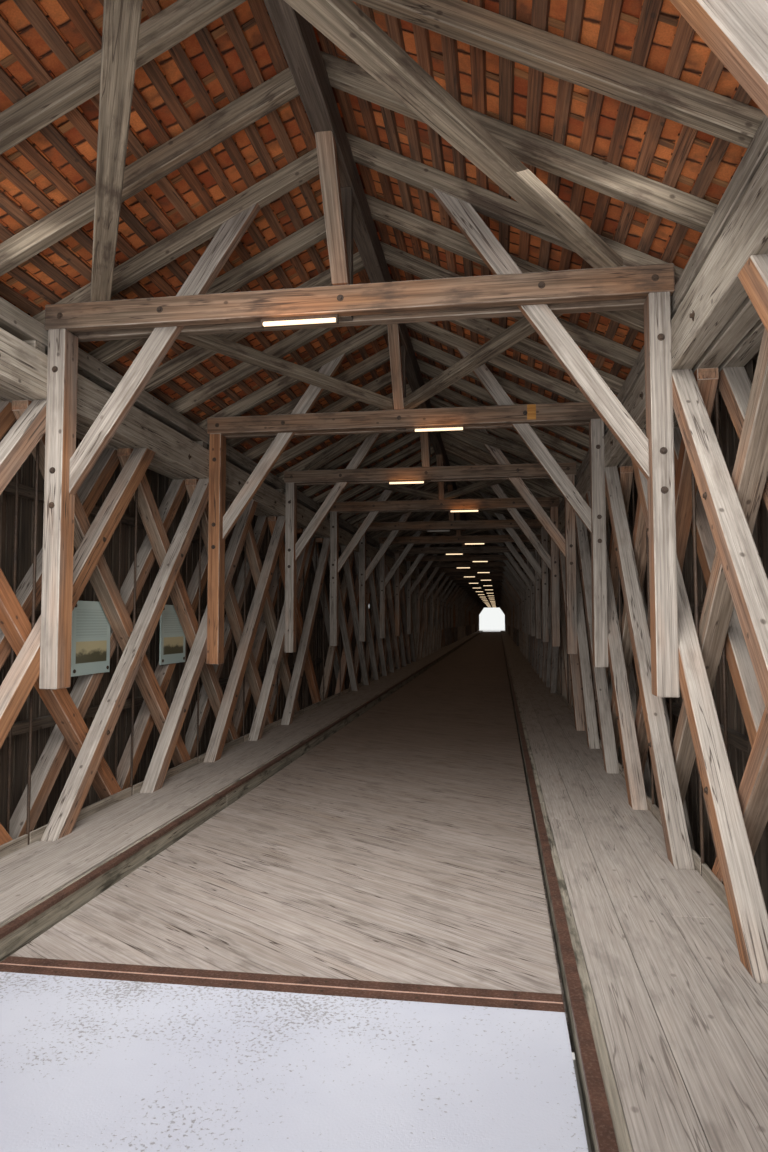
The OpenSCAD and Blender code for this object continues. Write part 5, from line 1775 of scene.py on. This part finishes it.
@dataclass(frozen=True)
class Fittings:
    """Lamps, info boards, bolts and plates."""

    size: BridgeSizes
    palette: Palette
    lamp_half: float = 29.5
    lamp_ahead: float = 10.0
    tube_half: float = 28.0
    tube_radius: float = 1.7
    tube_drop: float = 4.2
    holder_drops: Span = (2.2, 6.6)
    end_caps: Span = (-29.4, 28.0)
    unlit: int = 6
    tie_bolts: tuple[float, ...] = (-222.0, -140.0, 0.0, 145.0, 222.0)
    post_bolts: tuple[float, ...] = (874.0, 901.0, 980.0)
    board_step: float = 183.5
    brace_bolts: Span = (0.27, 0.73)
    plate_shares: Span = (0.28, 0.78)
    plate_height: float = 971.0
    plate_half: float = 3.4

    def build(self) -> None:
        """Builds the fittings."""
        self.lamps()
        self.bolts()
        self.chord_plates()
        self.board_fixings()

    def lamps(self) -> None:
        """Tube lamps under the near timber of each tie, each in a slim holder."""
        s = self.size
        k = np.arange(1, s.bays)
        y = s.bay_y(k)
        x = s.lamp_centre(k)
        centre = np.stack([y - self.lamp_ahead, np.full_like(y, s.tie[0] - self.tube_drop)], axis=-1)
        tubes = {"tube_lamps.lit": (k != self.unlit, self.palette.lamp),
                 "tube_lamps.unlit": (k == self.unlit, self.palette.lamp_off)}
        for name, (chosen, finish) in tubes.items():
            stock = Stock(111)
            ends = x[chosen] - self.tube_half, x[chosen] + self.tube_half
            stock.add(discs(self.tube_radius, centre[chosen]), *ends, Plane.ACROSS_X, bevel=0.5)
            place(name, stock, finish, smooth=True)
        stock = Stock(112)
        foot, seat = (s.tie[0] - drop for drop in reversed(self.holder_drops))
        stock.add(rectangles(y - 11.0, y - 9.0, seat, s.tie[0]), x - self.lamp_half, x + self.lamp_half,
                  Plane.ACROSS_X, bevel=0.3)
        for end in self.end_caps:
            shape = rectangles(y - 12.2, y - 7.8, foot, seat)
            stock.add(shape, x + end, x + end + 1.4, Plane.ACROSS_X, bevel=0.3)
        place("tube_lamps.holders", stock, self.palette.iron, ())

    def bolts(self) -> None:
        """Washers and bolt heads on ties, hanging posts and the inner main braces."""
        s = self.size
        y = s.bay_y(np.arange(s.bays + 1))
        stock = Stock(115)
        x, z = np.meshgrid(self.tie_bolts, [(s.tie[0] + s.tie[1]) / 2])
        front = [np.stack([x.ravel(), z.ravel()], axis=1)]
        for side in (-1.0, 1.0):
            front.append(np.array([[side * (s.truss_in - 7.0), z] for z in self.post_bolts]))
        spots = np.concatenate(front)
        face = np.repeat(y - 1.5 * s.tie_thick, len(spots))
        for radius, lift, sides in ((2.6, 0.4, 12), (1.6, 1.4, 6)):
            shapes = np.tile(discs(radius, spots, sides), (len(y), 1, 1))
            stock.add(shapes, face - lift, face, Plane.ALONG_Y, bevel=0.2)
        low, high = s.bottom_chord[1], s.top_chord[0]
        i = np.array([i for i in range(s.panels - 1) if i % (2 * s.bays_per_span) < s.bays_per_span - 1])
        for share in self.brace_bolts:
            for way in (1.0, -1.0):
                at = way * (s.panel_y(i) + share * s.bay)
                spots = np.stack([at, np.full_like(at, low + share * (high - low))], axis=1)
                for radius, lift, sides in ((2.4, 0.4, 12), (1.5, 1.5, 6)):
                    shapes = discs(radius, spots, sides)
                    stock.add(shapes, s.truss_in - lift, s.truss_in, Plane.ACROSS_X, bevel=0.2)
                    stock.add(shapes, -s.truss_in, lift - s.truss_in, Plane.ACROSS_X, bevel=0.2)
        place("bolt_heads", stock, self.palette.iron)

    def chord_plates(self) -> None:
        """Rusty nut plates on the inner faces of the top chords, two in each bay."""
        s = self.size
        k = np.concatenate([np.arange(s.bays) + share for share in self.plate_shares])
        spots = np.stack([s.bay_y(k), np.full_like(k, self.plate_height)], axis=1)
        stock = Stock(116)
        turned = self.plate_half * np.array([[-1.0, 0.0], [0.0, -1.0], [1.0, 0.0], [0.0, 1.0]])
        stock.add(spots[:, None] + turned, s.truss_in - 0.6, s.truss_in, Plane.ACROSS_X, bevel=0.2)
        stock.add(discs(1.4, spots, 6), s.truss_in - 2.2, s.truss_in - 0.5, Plane.ACROSS_X, bevel=0.2)
        place("chord_nut_plates", stock.doubled(), self.palette.iron)

    def board_fixings(self) -> None:
        """Four round fixings on each info board."""
        low, high = (np.array(v) * 1000.0 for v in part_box("info_boards"))
        stock = Stock(117)
        y = np.array([start + at for start in (low[1], low[1] + self.board_step) for at in (4.5, 63.5)])
        spots = np.stack(np.meshgrid(y, [low[2] + 4.5, high[2] - 4.5]), axis=-1).reshape(-1, 2)
        stock.add(discs(1.8, spots, 10), high[0], high[0] + 0.9, Plane.ACROSS_X, bevel=0.2)
        place("info_board_fixings", stock, self.palette.iron)


@dataclass(frozen=True)
class Solids:
    """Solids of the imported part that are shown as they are."""

    palette: Palette

    def build(self) -> None:
        """Gives each its finish."""
        finishes = {
            "abutments": self.palette.concrete,
            "river_piers": self.palette.concrete,
            "approach_slabs": self.palette.slab,
            "expansion_joints": self.palette.steel,
            "curb_angles": self.palette.steel,
            "iron_rods": self.palette.iron,
            "info_boards": self.palette.panel,
        }
        for name, finish in finishes.items():
            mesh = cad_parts[name].data
            mesh.materials.clear()
            mesh.materials.append(finish)
            LOG.info("%s: %s", name, finish.name)


@dataclass(frozen=True)
class Softbox:
    """A soft lamp that the eye doesn't see; lengths in metres, power in watts, spread in degrees."""

    name: str
    spot: tuple[float, float, float]
    aim: tuple[float, float, float]
    wide: float
    tall: float
    power: float
    tone: str
    spread: float = 180.0

    def build(self) -> None:
        """Hangs the lamp."""
        data = bpy.data.lights.new(self.name, "AREA")
        data.shape = "RECTANGLE"
        data.size, data.size_y = self.wide, self.tall
        data.energy = self.power
        data.spread = math.radians(self.spread)
        data.color = linear(self.tone)[:3]
        lamp = bpy.data.objects.new(self.name, data)
        lamp.location = self.spot
        lamp.rotation_euler = (Vector(self.aim) - Vector(self.spot)).to_track_quat("-Z", "Y").to_euler()
        lamp.visible_camera = False
        bpy.context.scene.collection.objects.link(lamp)


@dataclass(frozen=True)
class Studio:
    """Floor, light and camera; places in metres, and the eye's turn as yaw, pitch and roll in radians."""

    size: BridgeSizes
    eye: tuple[float, float, float] = (0.11266, -6.6301, 0.7855)
    turn: tuple[float, float, float] = (-0.1478, 0.0582, -0.001)
    lens: float = 24.0
    sky: float = 1.0
    glowing: tuple[int, ...] = (2, 3, 4, 5)
    reach: float = 60.0

    def build(self) -> None:
        """Builds the studio."""
        self.floor()
        self.world()
        self.lights()
        self.camera()

    def floor(self) -> None:
        """A plain pale floor."""
        mesh = bpy.data.meshes.new("studio_floor")
        corners = [(x * self.reach, y * self.reach, 0) for x, y in ((-1, -1), (1, -1), (1, 1), (-1, 1))]
        mesh.from_pydata(corners, [], [(0, 1, 2, 3)])
        n = Nodes("studio_floor_paint")
        cloud = n.add("TexNoise", {0: n.add("TexCoord", out="Object"), 2: 2.0, 3: 2.0})
        colour = n.add("Mix", {0: cloud, 6: linear("#dcdcda"), 7: linear("#e4e4e2")}, **BLEND)
        mesh.materials.append(n.finish(colour, 0.9, cloud, 0.0001))
        floor = bpy.data.objects.new("studio_floor", mesh)
        bpy.context.scene.collection.objects.link(floor)

    def world(self) -> None:
        """Soft even light, and a near white background for the eye, for gloss and for glass."""
        world = bpy.data.worlds.new("studio_world")
        world.use_nodes = True
        tree = world.node_tree
        tree.nodes.clear()
        kinds = ("OutputWorld", "MixShader", "Background", "Background", "LightPath", "Math", "Math")
        out, mix, soft, seen, path, bare, either = (tree.nodes.new("ShaderNode" + kind) for kind in kinds)
        soft.inputs["Color"].default_value = linear("#f1f1f0")
        soft.inputs["Strength"].default_value = self.sky
        seen.inputs["Color"].default_value = linear("#f4f6f4")
        bare.operation = either.operation = "MAXIMUM"
        links = (
            (path.outputs["Is Camera Ray"], bare.inputs[0]),
            (path.outputs["Is Transmission Ray"], bare.inputs[1]),
            (bare.outputs[0], either.inputs[0]),
            (path.outputs["Is Glossy Ray"], either.inputs[1]),
            (either.outputs[0], mix.inputs[0]),
            (soft.outputs[0], mix.inputs[1]),
            (seen.outputs[0], mix.inputs[2]),
            (mix.outputs[0], out.inputs[0]),
        )
        for source, target in links:
            tree.links.new(source, target)
        bpy.context.scene.world = world

    def lights(self) -> None:
        """Soft lamps over the model and in the near portal, and the warm light that the tubes throw."""
        s = self.size
        lamps = (  # name, place, aim, width, height, power, tone and spread
            ("key_softbox", (6.0, -9.0, 8.0), (0.0, -1.0, 0.6), 6.0, 6.0, 480.0, "#fff8f0"),
            ("portal_softbox", (0.0, -6.755, 0.80), (0.0, -5.6, 0.66), 0.42, 0.38, 2.6, "#f4f6fb", 125.0),
            ("threshold_softbox", (0.0, -6.26, 1.0), (0.0, -5.98, 0.6), 0.42, 0.2, 1.15, "#f6f6f6", 120.0),
            ("slab_bounce", (0.0, -6.48, 0.615), (0.0, -6.4, 1.2), 0.28, 0.4, 0.3, "#f7f3ee"),
            ("tube_row", (0.0, 0.6, 1.0), (0.0, 0.6, 0.0), 0.16, 12.2, 1.4, "#ffdcbc"),
        )
        for lamp in lamps:
            Softbox(*lamp).build()
        for k in self.glowing:
            x, y, z = float(s.lamp_centre(k)) * MM, float(s.bay_y(k)) * MM, s.tie[0] * MM
            spot, aim = (x, y - 0.024, z - 0.006), (x, y - 0.014, z + 0.008)
            Softbox(f"tube_glow_{k}", spot, aim, 0.05, 0.006, 0.005, "#ffb469").build()

    def camera(self) -> None:
        """The view along the road from a standing height on the near slab.

        The axes come from the turn about the upright, then the pitch and the roll: forward is
        (sin yaw cos pitch, cos yaw cos pitch, sin pitch) and right is (cos yaw, -sin yaw, 0).
        """
        yaw, pitch, roll = self.turn
        forward = Vector((math.sin(yaw) * math.cos(pitch), math.cos(yaw) * math.cos(pitch), math.sin(pitch)))
        right = Vector((math.cos(yaw), -math.sin(yaw), 0.0))
        up = right.cross(forward)
        right, up = math.cos(roll) * right + math.sin(roll) * up, math.cos(roll) * up - math.sin(roll) * right
        data = bpy.data.cameras.new("eye")
        data.sensor_width = 36.0
        data.lens = self.lens
        data.clip_start, data.clip_end = 0.005, 200.0
        eye = bpy.data.objects.new("eye", data)
        eye.matrix_world = Matrix.Translation(self.eye) @ Matrix((right, up, -forward)).transposed().to_4x4()
        bpy.context.scene.collection.objects.link(eye)
        bpy.context.scene.camera = eye


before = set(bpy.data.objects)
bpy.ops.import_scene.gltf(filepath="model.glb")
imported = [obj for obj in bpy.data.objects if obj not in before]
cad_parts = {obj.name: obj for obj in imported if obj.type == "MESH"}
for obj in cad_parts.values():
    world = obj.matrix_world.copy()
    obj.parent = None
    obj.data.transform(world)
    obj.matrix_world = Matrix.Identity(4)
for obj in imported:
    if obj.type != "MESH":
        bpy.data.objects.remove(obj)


def main() -> None:
    """Builds the pieces in order."""
    logging.basicConfig(level=logging.INFO, format="%(name)s: %(message)s")
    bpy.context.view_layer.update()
    bpy.context.scene.view_settings.view_transform = "Standard"
    bpy.context.scene.cycles.use_light_tree = False  # few lamps: plain sampling takes two thirds of the time
    size = BridgeSizes()
    palette = Palette.make()
    for part in (Solids(palette), Trusses(size, palette), RoadFloor(size, palette),
                 CrossFrames(size, palette), Roof(size, palette), Walls(size, palette),
                 Fittings(size, palette), Studio(size)):
        part.build()


if __name__ == "__main__":
    main()
